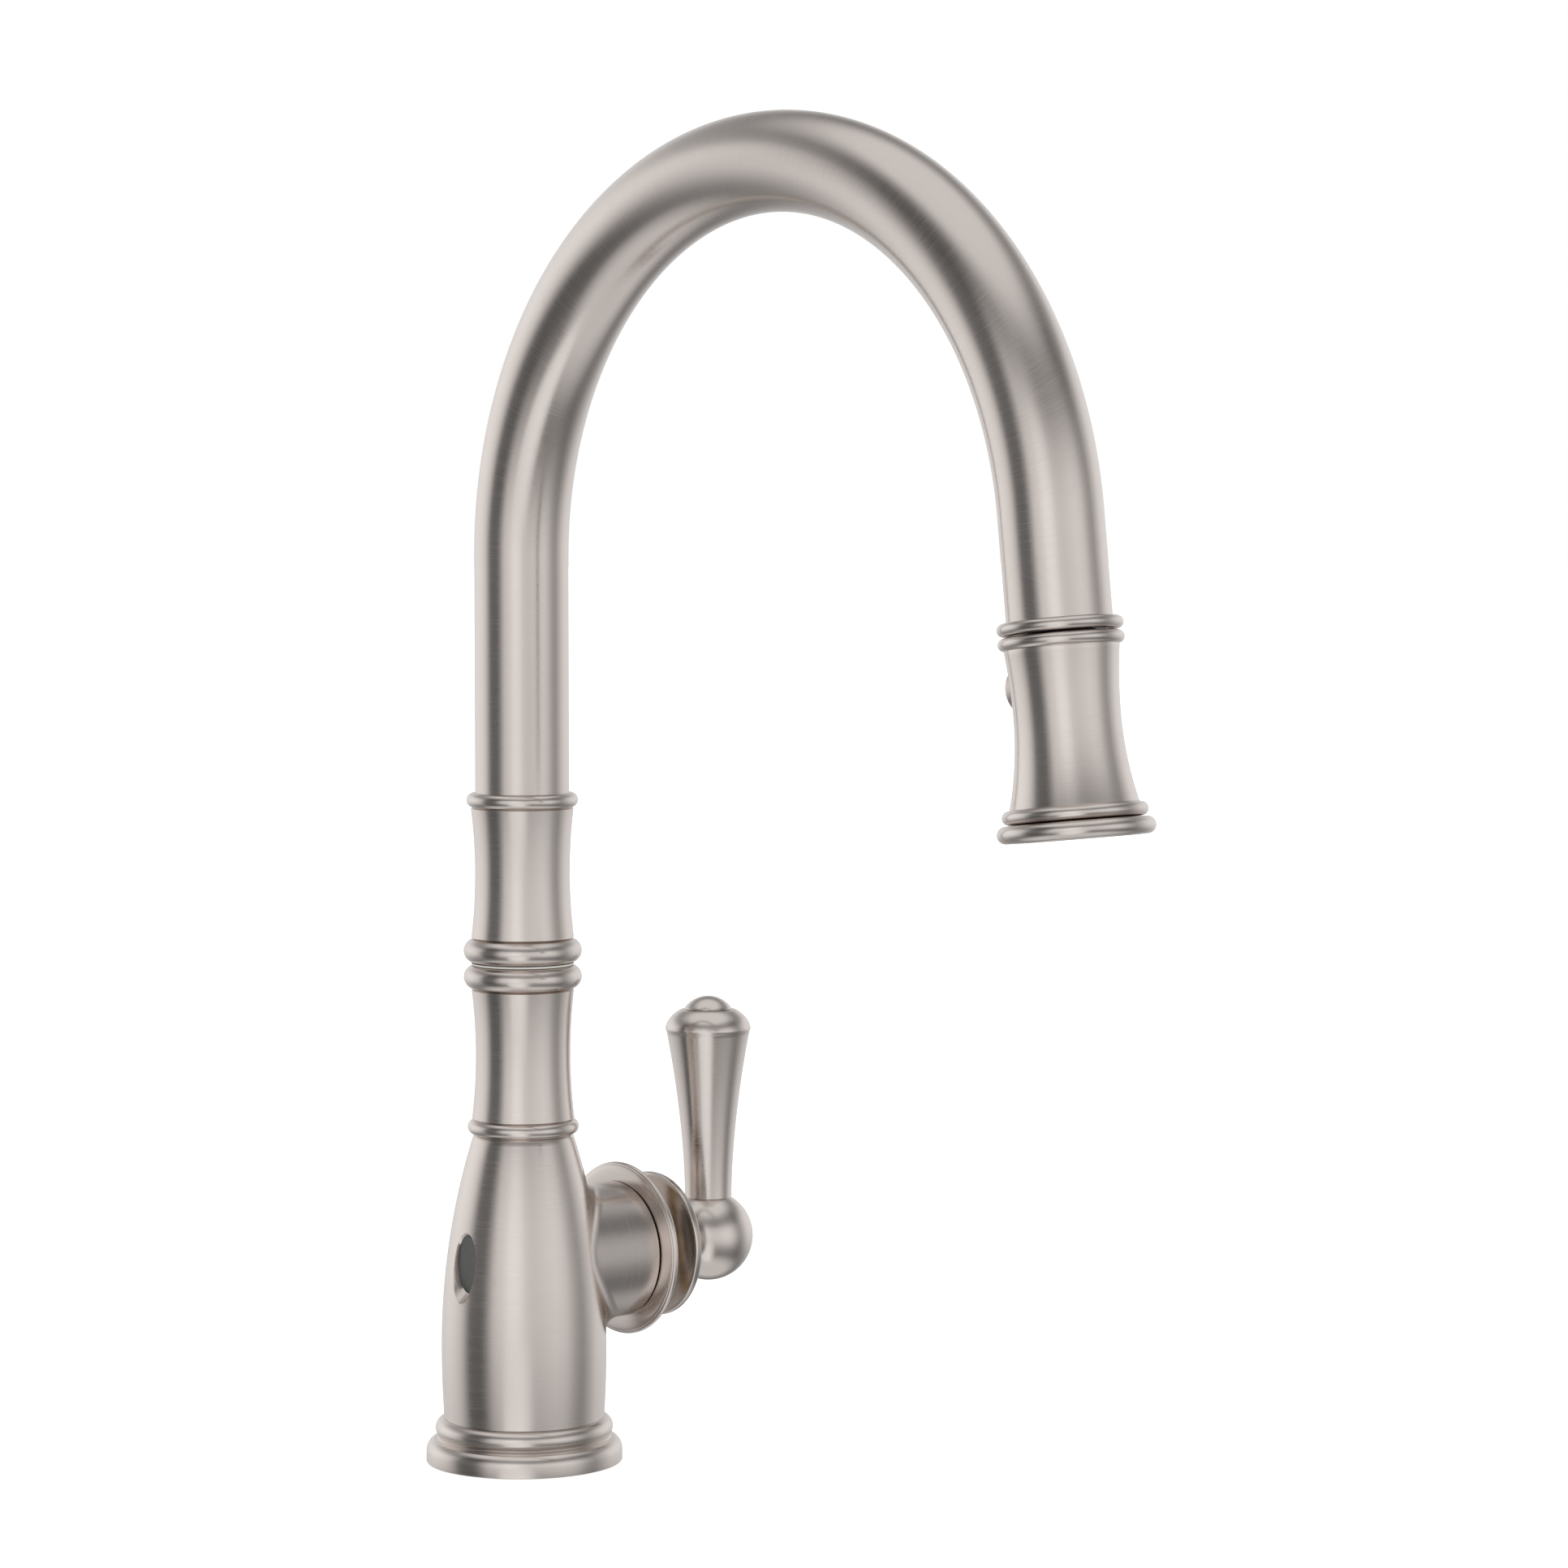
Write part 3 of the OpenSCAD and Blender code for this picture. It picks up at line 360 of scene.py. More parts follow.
makeFlange()
column = {
    "bigBead": 7.4,
    "smallBead": 4.5,
    "bigRadius": 18.0,
    "smallRadius": 16.97,
    "waist": 14.42,
    "flare": 15.62,
    "fillet": 0.35,
    "upperBore": 12.2,
    "lowerBore": 11.1,
}


def columnOutline(low, length, bore):  # from the swivel plane outwards, u counted from the swivel gap
    c = column
    u0, u1 = low + c["bigBead"], low + length - c["smallBead"]
    mid = (u0 + u1) / 2
    fillet = c["fillet"]
    bead = c["bigBead"] / 2
    big = arc(c["bigRadius"] - bead, low + bead, bead, -90, 82, 24)
    waistLow = [(r, u) for r, u in reversed(bow(mid, u0 + fillet, c["waist"], c["flare"]))]
    waistHigh = bow(mid, u1 - fillet, c["waist"], c["flare"])
    bead = c["smallBead"] / 2
    small = arc(c["smallRadius"] - bead, u1 + bead, bead, -80, 90, 18)
    return [(bore, low)] + big + waistLow + waistHigh[1:] + small + [(bore, low + length), (bore, low)]


def makeColumn():
    upLow, upHigh, _ = spot("upper_column")
    swivel = joints["spout_swivel"]["pos_m"][2]
    gap = (upLow.z - swivel) / mm
    length = (upHigh.z - swivel) / mm - gap
    middle = (0, 0, swivel)
    upper = turned("upperColumn", middle, up, columnOutline(gap, length, column["upperBore"]))
    lower = turned("lowerColumn", middle, -up, columnOutline(gap, length, column["lowerBore"]))
    dress(upper, standNickel, "spout", "nickel", "upper_column")
    dress(lower, standNickel, "body", "nickel", "lower_column")


makeColumn()
print("flange and column made")

# Bottle-shaped body with its hub and the opening for the sensor

bottle = {
    "foot": 24.5,
    "belly": 25.22,
    "bellyHeight": 35.0,
    "neck": 15.4,
    "hubRadius": 21.0,
    "fillet": 9.0,
    "pocketFloor": 17.0,            # how far from the axis the pocket starts
    "pocketInner": (9.4, 17.6),     # width and height of the pocket at the lens
    "pocketOuter": (12.8, 31.0),    # the same where it would end, out in the open
    "pocketReach": 27.0,
    "pocketRise": 1.35,
    "rimBand": (45, 78),            # heights between which the pocket's rim lies
    "rimRound": 0.45,
    "boreGap": 0.05,                # room round the cartridge and its nut
    "hubBore": 16.0,
    "hubEdge": 0.3,
    "top": spot("body_shell")[1].z / mm,
}


def bottleRadius(z):
    b = bottle
    run, rise = b["top"] - b["bellyHeight"], b["belly"] - b["neck"]
    if z < b["bellyHeight"]:
        run, rise = b["bellyHeight"] - flange["height"], b["belly"] - b["foot"]
    circle = (run * run + rise * rise) / (2 * rise)
    return b["belly"] - circle + math.sqrt(circle * circle - (z - b["bellyHeight"]) ** 2)


def makeBottle():
    b = bottle
    bodyLow, bodyHigh, _ = spot("body_shell")
    top, base = bodyHigh.z / mm, bodyLow.z / mm
    heights = [base + (top - base) * i / 60 for i in range(61)]
    outline = [(0, base), (b["foot"] - 0.5, base)]
    outline += [(bottleRadius(z), z) for z in heights]
    outline += [(b["neck"] - 0.1, top + 0.15), (b["neck"] - 0.6, top + 0.75), (0, top + 0.75)]
    piece = turned("bottleBody", (0, 0, 0), up, outline, 192)
    cutter = pocketCutter()
    cutAway(piece, cutter)
    softenPocket(piece)
    return dress(piece, standNickel, "body", "nickel", "body_shell")


def pocketCutter():  # an elliptical plug that flares from the lens out through the skin
    b = bottle
    lensLow, _, lensMiddle = spot("sensor_lens")
    deselectAll()
    bpy.ops.mesh.primitive_circle_add(vertices=96, radius=0.5 * mm, fill_type="NGON",
                                      rotation=(0, math.pi / 2, 0))
    cutter = bpy.context.active_object
    bpy.ops.object.transform_apply(location=True, rotation=True, scale=True)
    bpy.ops.object.mode_set(mode="EDIT")
    bpy.ops.mesh.select_all(action="SELECT")
    wide, high = b["pocketInner"]
    bpy.ops.transform.resize(value=(1, wide, high), center_override=(0, 0, 0))
    bpy.ops.transform.translate(value=(-b["pocketFloor"] * mm, 0, lensMiddle.z))
    step = lensLow.x + b["pocketFloor"] * mm
    bpy.ops.mesh.extrude_region_move(TRANSFORM_OT_translate={"value": (step, 0, 0)})
    step = -b["pocketReach"] * mm - lensLow.x
    bpy.ops.mesh.extrude_region_move(TRANSFORM_OT_translate={"value": (step, 0, b["pocketRise"] * mm)})
    middle = (-b["pocketReach"] * mm, 0, lensMiddle.z + b["pocketRise"] * mm)
    grow = (1, b["pocketOuter"][0] / wide, b["pocketOuter"][1] / high)
    bpy.ops.transform.resize(value=grow, center_override=middle)
    bpy.ops.mesh.select_all(action="SELECT")
    bpy.ops.mesh.normals_make_consistent(inside=False)
    bpy.ops.object.mode_set(mode="OBJECT")
    return cutter


def cutAway(piece, cutter):
    deselectAll()
    piece.select_set(True)
    bpy.context.view_layer.objects.active = piece
    cut = piece.modifiers.new("opening", "BOOLEAN")
    cut.operation = "DIFFERENCE"
    cut.solver = "EXACT"
    cut.object = cutter
    bpy.ops.object.modifier_apply(modifier=cut.name)
    bpy.data.objects.remove(cutter)
    bpy.ops.object.shade_smooth_by_angle(angle=math.radians(32))


def softenPocket(piece):  # a small round on the sharp rim of the pocket
    deselectAll()
    piece.select_set(True)
    bpy.context.view_layer.objects.active = piece
    bpy.ops.object.mode_set(mode="EDIT")
    bpy.ops.mesh.select_mode(type="EDGE")
    bpy.ops.mesh.select_all(action="DESELECT")
    work = bmesh.from_edit_mesh(piece.data)
    low, high = [height * mm for height in bottle["rimBand"]]

    def onRim(point):  # on the skin, on the side of the pocket and at its height
        skin = (bottleRadius(point.z / mm) - 0.08) * mm
        return math.hypot(point.x, point.y) > skin and point.x < -20 * mm and low < point.z < high

    for edge in work.edges:
        near = all(onRim(vertex.co) for vertex in edge.verts)
        sharp = edge.is_manifold and edge.calc_face_angle() > math.radians(20)
        edge.select_set(near and sharp)
    bmesh.update_edit_mesh(piece.data)
    bpy.ops.mesh.bevel(offset=bottle["rimRound"] * mm, segments=4, affect="EDGES", clamp_overlap=True)
    bpy.ops.mesh.select_mode(type="VERT")
    bpy.ops.object.mode_set(mode="OBJECT")
    bpy.ops.object.shade_smooth_by_angle(angle=math.radians(40))


def boreOut(piece):  # room for the cartridge and its nut, open at the hub's front
    front = spot("body_shell")[1].x
    gap = bottle["boreGap"] * mm
    for part in ("cartridge_housing", "cartridge_nut"):
        low, high, middle = spot(part)
        start, end = low.x - gap, front + 5 * mm
        deselectAll()
        bpy.ops.mesh.primitive_cylinder_add(
            vertices=144, radius=(high.z - low.z) / 2 + gap, depth=end - start,
            location=((start + end) / 2, 0, middle.z), rotation=(0, math.pi / 2, 0))
        cutAway(piece, bpy.context.active_object)


boreOut(makeBottle())
hubMiddle = Vector((0, 0, joints["mixer_turn"]["pos_m"][2]))
toSide = Vector((1, 0, 0))
handleNickel = turnedNickel("handleNickel", hubMiddle, toSide)


def hubSection(turn):  # outline of the hub and its fillet in the plane at this turn about its axis
    b, rise, aside = bottle, math.sin(turn), math.cos(turn)
    hub, fillet, z0 = b["hubRadius"], b["fillet"], hubMiddle.z / mm

    def bodyX(reach):
        radius = bottleRadius(z0 + reach * rise)
        return math.sqrt(max(radius * radius - (reach * aside) ** 2, 0.0))

    samples = [(hub - 4 + 0.05 * i, bodyX(hub - 4 + 0.05 * i)) for i in range(280)]
    samples = [s for s in samples if s[1] > 0.5]
    low, high = 0.0, 60.0
    for _ in range(26):
        middle = (low + high) / 2
        near = min(math.hypot(hub + fillet - r, middle - x) for r, x in samples)
        low, high = (middle, high) if near < fillet else (low, middle)
    touch = min(samples, key=lambda s: math.hypot(hub + fillet - s[0], high - s[1]))
    beyond = [s for s in samples if s[0] > touch[0] and math.dist(s, touch) > 1.2]
    beyond = beyond[0] if beyond else samples[-1]
    end = math.degrees(math.atan2(touch[1] - high, touch[0] - hub - fillet)) % 360
    curve = arc(hub + fillet, high, fillet, 180, end, 12)
    skim = (beyond[0] - 0.04, beyond[1] - 0.04)
    return curve + [skim, (skim[0] - 1.5, skim[1] - 1.5), (hub - 6, skim[1] - 3)]


def makeHub():
    b = bottle
    front = spot("body_shell")[1].x / mm
    steps = 144
    hub, edge = b["hubRadius"], b["hubEdge"]
    rings = [(b["hubBore"], front), (hub - edge, front), (hub, front - edge)]
    sections = [hubSection(2 * math.pi * i / steps) for i in range(steps)]
    count = len(rings) + len(sections[0])
    deselectAll()
    bpy.ops.mesh.primitive_circle_add(vertices=steps, radius=1.0, fill_type="NOTHING")
    piece = bpy.context.active_object
    bpy.ops.object.mode_set(mode="EDIT")
    bpy.ops.mesh.select_all(action="SELECT")
    for _ in range(count - 1):
        bpy.ops.mesh.extrude_edges_move(TRANSFORM_OT_translate={"value": (0, 0, 1)})
    bpy.ops.object.mode_set(mode="OBJECT")
    for ring in range(count):  # each ring is taken to its place round the hub
        for i in range(steps):
            turn = 2 * math.pi * i / steps
            reach, x = (rings + sections[i])[ring]
            piece.data.vertices[ring * steps + i].co = (
                x * mm, reach * math.cos(turn) * mm, hubMiddle.z + reach * math.sin(turn) * mm)
    bpy.ops.object.mode_set(mode="EDIT")
    bpy.ops.mesh.select_all(action="SELECT")
    bpy.ops.mesh.fill_holes(sides=0)
    bpy.ops.mesh.normals_make_consistent(inside=False)
    settle(piece, "cartridgeHub", 40)
    boreOut(piece)
    return dress(piece, handleNickel, "body", "nickel")


makeHub()
print("body and hub made")

# Gooseneck tube, swept round its bend

dockMiddle = Vector(joints["wand_pull"]["pos_m"])
dockAxis = Vector(joints["wand_pull"]["axis"]).normalized()
bend = {
    "start": 0.2767,
    "radius": 0.1128,
    "turn": math.atan2(-dockAxis.y, dockAxis.z),
    "tubeRadius": 14.29 * mm,
    "wall": 1.3 * mm,
    "footDown": 8 * mm,     # how far the tube goes down into the column
    "tailPast": 1.2 * mm,   # and past the middle of the collar
}
bendMiddle = Vector((0, -bend["radius"], bend["start"]))
archNickel = tubeNickel("archNickel", bendMiddle, bend["radius"])


def sweep(radius, sides, low, turnFrom, turnTo, tail, rows):  # open pipe along the spout's path
    deselectAll()
    bpy.ops.mesh.primitive_circle_add(vertices=sides, radius=radius, fill_type="NOTHING")
    piece = bpy.context.active_object
    bpy.ops.object.mode_set(mode="EDIT")
    bpy.ops.mesh.select_all(action="SELECT")
    if turnFrom > 0:
        bpy.ops.transform.translate(value=(0, 0, bend["start"]))
        bpy.ops.mesh.spin(steps=1, angle=-turnFrom, center=bendMiddle, axis=(1, 0, 0))
        bpy.ops.mesh.select_all(action="INVERT")
        bpy.ops.mesh.delete(type="VERT")
        bpy.ops.mesh.select_all(action="SELECT")
    else:
        bpy.ops.transform.translate(value=(0, 0, low))
        step = (0, 0, (bend["start"] - low) / 8)
        for _ in range(8):
            bpy.ops.mesh.extrude_edges_move(TRANSFORM_OT_translate={"value": step})
    bpy.ops.mesh.spin(steps=rows, angle=-(turnTo - turnFrom), center=bendMiddle, axis=(1, 0, 0))
    for _ in range(6 if tail else 0):
        bpy.ops.mesh.extrude_edges_move(TRANSFORM_OT_translate={"value": dockAxis * (tail / 6)})
    bpy.ops.mesh.select_all(action="SELECT")
    bpy.ops.mesh.remove_doubles(threshold=1e-6)
    bpy.ops.mesh.normals_make_consistent(inside=False)
    bpy.ops.object.mode_set(mode="OBJECT")
    return piece


def makeSpout():
    foot = spot("upper_column")[1].z - bend["footDown"]
    collar = spot("dock_collar")[2]
    tail = (collar - dockMiddle).dot(dockAxis)
    piece = sweep(bend["tubeRadius"], 96, foot, 0, bend["turn"], tail + bend["tailPast"], 150)
    wall = piece.modifiers.new("wall", "SOLIDIFY")
    wall.thickness = bend["wall"]
    wall.offset = -1
    bpy.context.view_layer.objects.active = piece
    bpy.ops.object.modifier_apply(modifier=wall.name)
    settle(piece, "gooseneck", 40)
    return dress(piece, archNickel, "spout", "nickel", "spout_tube")


makeSpout()
print("spout made")

# Dock collar and wand, turned about the dock's axis

wandNickel = turnedNickel("wandNickel", dockMiddle, dockAxis)
wand = {
    "collar": 28.4,
    "collarHeight": 3.5,
    "gap": 0.4,
    "topRadius": 17.0,
    "tube": 14.29,
    "neck": 15.5,
    "waist": 14.34,
    "skirt": 17.35,
    "ring": 19.6,
    "ringHeight": 3.8,
    "face": 21.3,
    "faceHeight": 4.7,
    "length": 54.7,
    "buttonDown": 13.5,
    "buttonRadius": 6.6,
    "buttonGap": 0.3,
    "buttonBase": 13.2,     # from the wand's axis outwards
    "buttonEdge": 15.5,
    "waistDown": 21.7,
    "topBore": 9.0,
    "core": 12.7,
    "faceBore": 17.4,
}


def makeCollar():
    w = wand
    bead = w["collarHeight"] / 2
    bore, low = w["tube"] + 0.03, w["collar"]
    outline = [(bore, low)] + arc(w["topRadius"] - bead, low + bead, bead, -90, 90, 18)
    outline += [(bore, low + w["collarHeight"]), (bore, low)]
    piece = turned("dockCollar", dockMiddle, dockAxis, outline)
    return dress(piece, wandNickel, "spout", "nickel", "dock_collar")


def makeWand():
    w = wand
    top = w["collar"] + w["collarHeight"] + w["gap"]
    bead, ring = w["collarHeight"] / 2, w["ringHeight"] / 2
    end = w["length"] - w["faceHeight"] - 0.2
    middle, skirt = w["waistDown"], end - w["ringHeight"]
    outline = [(w["topBore"], 0)] + arc(w["topRadius"] - bead, bead, bead, -90, 84, 18)
    outline += [(r, u) for r, u in reversed(bow(middle, bead * 2 + 0.25, w["waist"], w["neck"], 16))]
    outline += bow(middle, skirt - 0.15, w["waist"], w["skirt"], 26)[1:]
    outline += arc(w["ring"] - ring, skirt + ring, ring, -84, 90, 18)
    outline += [(16.0, end), (16.0, end - 5), (w["core"], end - 12), (w["core"], 2)]
    outline += [(w["topBore"], 2), (w["topBore"], 0)]
    shell = turned("wandShell", dockMiddle + dockAxis * top * mm, dockAxis, outline)
    cutButton(shell, top)
    dress(shell, wandNickel, "wand", "nickel", "wand_shell")
    half = w["faceHeight"] / 2
    faceTop = w["length"] - w["faceHeight"]
    outline = [(w["faceBore"], faceTop)] + arc(w["face"] - half, faceTop + half, half, -90, 86, 22)
    outline += [(18.6, w["length"]), (18.1, w["length"] - 0.25), (17.5, w["length"] - 1.0)]
    outline += [(w["faceBore"], faceTop)]
    rim = turned("faceRing", dockMiddle + dockAxis * top * mm, dockAxis, outline)
    dress(rim, wandNickel, "wand", "nickel", "face_ring")


def cutButton(shell, top):
    w = wand
    away = Vector((0, -dockAxis.z, dockAxis.y))
    middle = dockMiddle + dockAxis * (top + w["buttonDown"]) * mm
    deselectAll()
    bpy.ops.mesh.primitive_cylinder_add(
        vertices=64, radius=(w["buttonRadius"] + w["buttonGap"]) * mm, depth=20 * mm,
        location=middle + away * 18 * mm, rotation=away.to_track_quat("Z", "Y").to_euler())
    cutAway(shell, bpy.context.active_object)


def makeButton():
    w = wand
    away = Vector((0, -dockAxis.z, dockAxis.y))
    middle = dockMiddle + dockAxis * (w["collar"] + w["collarHeight"] + w["gap"] + w["buttonDown"]) * mm
    edge, base, rim = w["buttonRadius"], w["buttonBase"], w["buttonEdge"]
    outline = [(0, base), (edge, base), (edge, rim)] + arc(edge - 1.0, rim, 1.0, 0, 70, 8)
    outline += [(edge - 2.2, 16.85), (edge - 3.4, 17.25), (edge - 5.0, 17.5), (0, 17.55)]
    piece = turned("sprayButton", middle, away, outline, 72)
    material = turnedNickel("buttonNickel", middle, away)
    return dress(piece, material, "button", "nickel", "spray_button")


makeCollar()
makeWand()
makeButton()
print("wand made")

# Bonnet, handle and lever

handle = {
    "bonnetRadius": 26.8,
    "bonnetHole": 18.2,
    "discRadius": 22.5,
    "neck": 8.5,
    "ball": 14.15,
    "leverFoot": 7.4,
    "lever": 13.5,
    "shoulder": 65.5,
    "bonnetStep": 2.2,
    "bonnetFoot": 17.6,
    "bonnetRound": 0.9,
    "skirt": 12.5,
    "skirtBore": 9.0,
    "coveFoot": 5.5,        # where the cove starts and how far it runs
    "coveRun": 6.1,
    "discRound": 0.6,
    "neckRound": 3.2,
    "leverBase": 12.15,
    "domeHeight": 8.4,
    "capRadius": 7.5,
    "capRise": 3.9,
}


def makeBonnet():
    h = handle
    low, high, _ = spot("bonnet")
    start, front = low.x / mm, high.x / mm
    back, foot, edge = start + h["bonnetStep"], h["bonnetFoot"], h["bonnetRound"]
    outline = [(foot, start), (19.1, start), (19.1, back), (20.8, back)]
    outline += [(21.0 + (h["bonnetRadius"] - 21.9) * math.sin(math.radians(a)),
                 back + 0.6 * (1 - math.cos(math.radians(a)))) for a in range(0, 91, 10)]
    outline += arc(h["bonnetRadius"] - edge, front - edge, edge, -78, 90, 16)
    outline += [(h["bonnetHole"] + 0.3, front), (h["bonnetHole"], front - 0.3),
                (h["bonnetHole"], start + 1.4), (foot, start)]
    piece = turned("bonnetDisc", hubMiddle, toSide, outline, 160)
    return dress(piece, handleNickel, "body", "nickel", "bonnet")


def makeHandle():
    h = handle
    low, high, _ = spot("handle_hub")
    start = low.x / mm
    ballX = high.x / mm - h["ball"]
    cove, reach, skirt = start + h["coveFoot"], h["coveRun"], h["skirt"]
    edge, turnIn = h["discRound"], h["neckRound"]
    disc = cove + reach
    outline = [(h["skirtBore"], start), (skirt - 0.3, start), (skirt, start + 0.3)]
    outline += [(skirt + (h["discRadius"] - 0.5 - skirt) * (1 - math.cos(math.radians(a))),
                 cove + reach * math.sin(math.radians(a))) for a in range(0, 91, 5)]
    outline += arc(h["discRadius"] - edge, disc + 0.6, edge, -60, 0, 6)
    outline += arc(h["discRadius"] - edge, disc + 1.7, edge, 0, 90, 8)
    outline += [(16.0, disc + 2.35), (15.6, disc + 2.6), (13.4, disc + 2.75)]
    outline += arc(h["neck"] + turnIn, disc + 6.0, turnIn, -90, -180, 12)
    begin = math.degrees(math.asin((h["neck"] + 0.1) / h["ball"])) - 90
    outline += arc(0, ballX, h["ball"], begin, 90, 40)
    outline[-1] = (0, ballX + h["ball"])
    outline += [(0, start + 2), (h["skirtBore"], start + 2), (h["skirtBore"], start)]
    piece = turned("handleHub", hubMiddle, toSide, outline, 144)
    return dress(piece, handleNickel, "lever", "nickel", "handle_hub")


def makeLever():
    h = handle
    ball = spot("lever_arm")[2]
    middle = Vector((ball.x, 0, hubMiddle.z))
    foot, shoulder = h["leverBase"], h["shoulder"]
    outline = [(0, foot), (h["leverFoot"] - 0.35, foot), (h["leverFoot"], foot + 0.35)]
    outline += [(h["leverFoot"] + (h["lever"] - 0.35 - h["leverFoot"]) * (i / 40) ** 1.75,
                 foot + 0.5 + (shoulder - 0.8 - foot) * i / 40) for i in range(41)]
    outline += [(h["lever"] - 0.08, shoulder + 0.1), (h["lever"], shoulder + 0.8)]
    outline += [(h["lever"] * math.sqrt(1 - (z / h["domeHeight"]) ** 2), shoulder + z)
                for z in [1.2 + 5.2 * i / 20 for i in range(21)]]
    outline += [(8.0, shoulder + 6.6), (7.2, shoulder + 6.45), (0, shoulder + 6.45)]
    material = turnedNickel("leverNickel", middle, up)
    lever = turned("leverArm", middle, up, outline, 144, 40)
    dress(lever, material, "lever", "nickel", "lever_arm")
    cap, rise = h["capRadius"], h["capRise"]
    circle = (cap * cap + rise * rise) / (2 * rise)
    edge = math.degrees(math.asin(cap / circle))
    base = shoulder + 6.65
    outline = [(0, base - 0.2), (cap - 0.35, base - 0.2), (cap, base + 0.1)]
    peak = base + 0.2 + rise
    outline += arc(0, peak - circle, circle, 90 - edge, 90, 24)[1:-1] + [(0, peak)]
    finial = turned("leverFinial", middle, up, outline, 96, 40)
    dress(finial, material, "lever", "nickel", "lever_finial")


makeBonnet()
makeHandle()
makeLever()
print("handle made")

# Pull-out hose: one length stays in the spout, the last stretch carries on round the bend to the wand's
# dock and is not attached to the wand

braid = braidMaterial("hoseBraid", (0.30, 0.31, 0.32, 1))
hose = {
    "radius": 5.0 * mm,
    "sides": 32,
    "split": 0.56 * math.pi,    # how far round the bend the two stretches meet
    "leanLow": 0.070,           # the riser leans to the middle from here
    "leanRise": 0.046,
}


def mapHose(piece, center):  # u runs round the hose, v along it in metres
    layer = piece.data.uv_layers.new(name="braidMap")
    points = [vertex.co for vertex in piece.data.vertices]
    for polygon in piece.data.polygons:
        marks = []
        for loop in polygon.loop_indices:
            around, along = center(points[piece.data.loops[loop].vertex_index])
            marks.append((loop, around, along))
        base = marks[0][1]
        for loop, around, along in marks:
            shift = round(base - around)
            layer.data[loop].uv = (around + shift, along)


def pathMap(point):
    if point.z <= bend["start"] and point.y > -bend["radius"]:
        return math.atan2(point.y, point.x) / (2 * math.pi), point.z
    offset = point - bendMiddle
    turn = math.atan2(offset.z, offset.y) % (2 * math.pi)
    turn = min(turn, bend["turn"])
    outward = Vector((0, math.cos(turn), math.sin(turn)))
    out = offset.dot(outward) - bend["radius"]
    ahead = offset - outward * offset.dot(outward)
    ahead.x = 0
    extra = ahead.length if turn >= bend["turn"] else 0
    return math.atan2(out, point.x) / (2 * math.pi), bend["start"] + turn * bend["radius"] + extra


def makeHose():
    low = spot("spout_hose")[0].z
    half = hose["split"]
    inner = sweep(hose["radius"], hose["sides"], low, 0, half, 0, 60)
    settle(inner, "spoutHose")
    mapHose(inner, pathMap)
    dress(inner, braid, "spout", "hose", "spout_hose")
    outer = sweep(hose["radius"] - 0.02 * mm, hose["sides"], low, half, bend["turn"], 2 * mm, 70)
    settle(outer, "wandHose")
    mapHose(outer, pathMap)
    outer.data.materials.append(braid)
    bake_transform(outer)
    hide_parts("hose_tail")


makeHose()


def makeRiser():
    source = frame["nodes"]["hose_riser"]
    deselectAll()
    piece = source.copy()
    piece.data = source.data.copy()
    piece.parent = None
    bpy.context.scene.collection.objects.link(piece)
    piece.select_set(True)
    bpy.context.view_layer.objects.active = piece
    bpy.ops.object.mode_set(mode="EDIT")
    bpy.ops.mesh.select_all(action="SELECT")
    bpy.ops.mesh.remove_doubles(threshold=1e-6)
    settle(piece, "riserHose")
    left = spot("hose_riser")[0].x + hose["radius"]

    def riserMap(point):
        share = min(max((point.z - hose["leanLow"]) / hose["leanRise"], 0), 1)
        return math.atan2(point.y, point.x - left * (1 - share)) / (2 * math.pi), point.z

    mapHose(piece, riserMap)
    return dress(piece, braid, "body", "hose", "hose_riser")


makeRiser()
print("hose made")

# Finishes of the CAD pieces that stay

finishes = {
    "brass": plainMaterial("turnedBrass", (0.62, 0.45, 0.19, 1), 1.0, 0.30, 1500, 0.00004),
    "steel": plainMaterial("plainSteel", (0.58, 0.58, 0.57, 1), 1.0, 0.28, 1800, 0.00003),
    "magnet": plainMaterial("platedMagnet", (0.62, 0.61, 0.59, 1), 1.0, 0.18, 900, 0.00002),
    "rubber": plainMaterial("blackRubber", (0.022, 0.022, 0.022, 1), 0.0, 0.62, 2200, 0.00008),
    "nozzle_rubber": plainMaterial("nozzleSilicone", (0.055, 0.058, 0.062, 1), 0.0, 0.50, 2000, 0.00006),
    "acetal": plainMaterial("whiteAcetal", (0.76, 0.74, 0.69, 1), 0.0, 0.42, 1400, 0.00005, 0.93),
    "black_plastic": plainMaterial("blackPlastic", (0.030, 0.030, 0.031, 1), 0.0, 0.45, 2400, 0.00006),
    "grey_plastic": plainMaterial("greyPlastic", (0.085, 0.090, 0.095, 1), 0.0, 0.38, 2400, 0.00005),
    "ceramic": plainMaterial("lappedCeramic", (0.84, 0.83, 0.79, 1), 0.0, 0.16, 1200, 0.00001, 0.96),
    "hose": braid,
    "nickel": standNickel,
    "lens": lensMaterial("smokedLens"),
}
shankLow = spot("shank")[0].z
pitch = 1.5 * mm
threads = {  # the nut's thread is inside, so its band is kept out of sight below
    "shank": threadedMetal("threadedBrass", (0.62, 0.45, 0.19, 1), 0.30, pitch,
                           shankLow + 1 * mm, -2 * mm),
    "mounting_nut": threadedMetal("nutBrass", (0.58, 0.42, 0.18, 1), 0.36, pitch, -1.0, -0.9),
}
slots = {entry["node"]: entry["material_slot"] for entry in frame["record"]["subparts"]}
for nodeName, node in frame["nodes"].items():
    node.data.materials.clear()
    node.data.materials.append(threads.get(nodeName) or finishes[slots[nodeName]])
print("finishes given")

# Room: pale floor at deck height and soft studio light all round, with a dark gap to the left

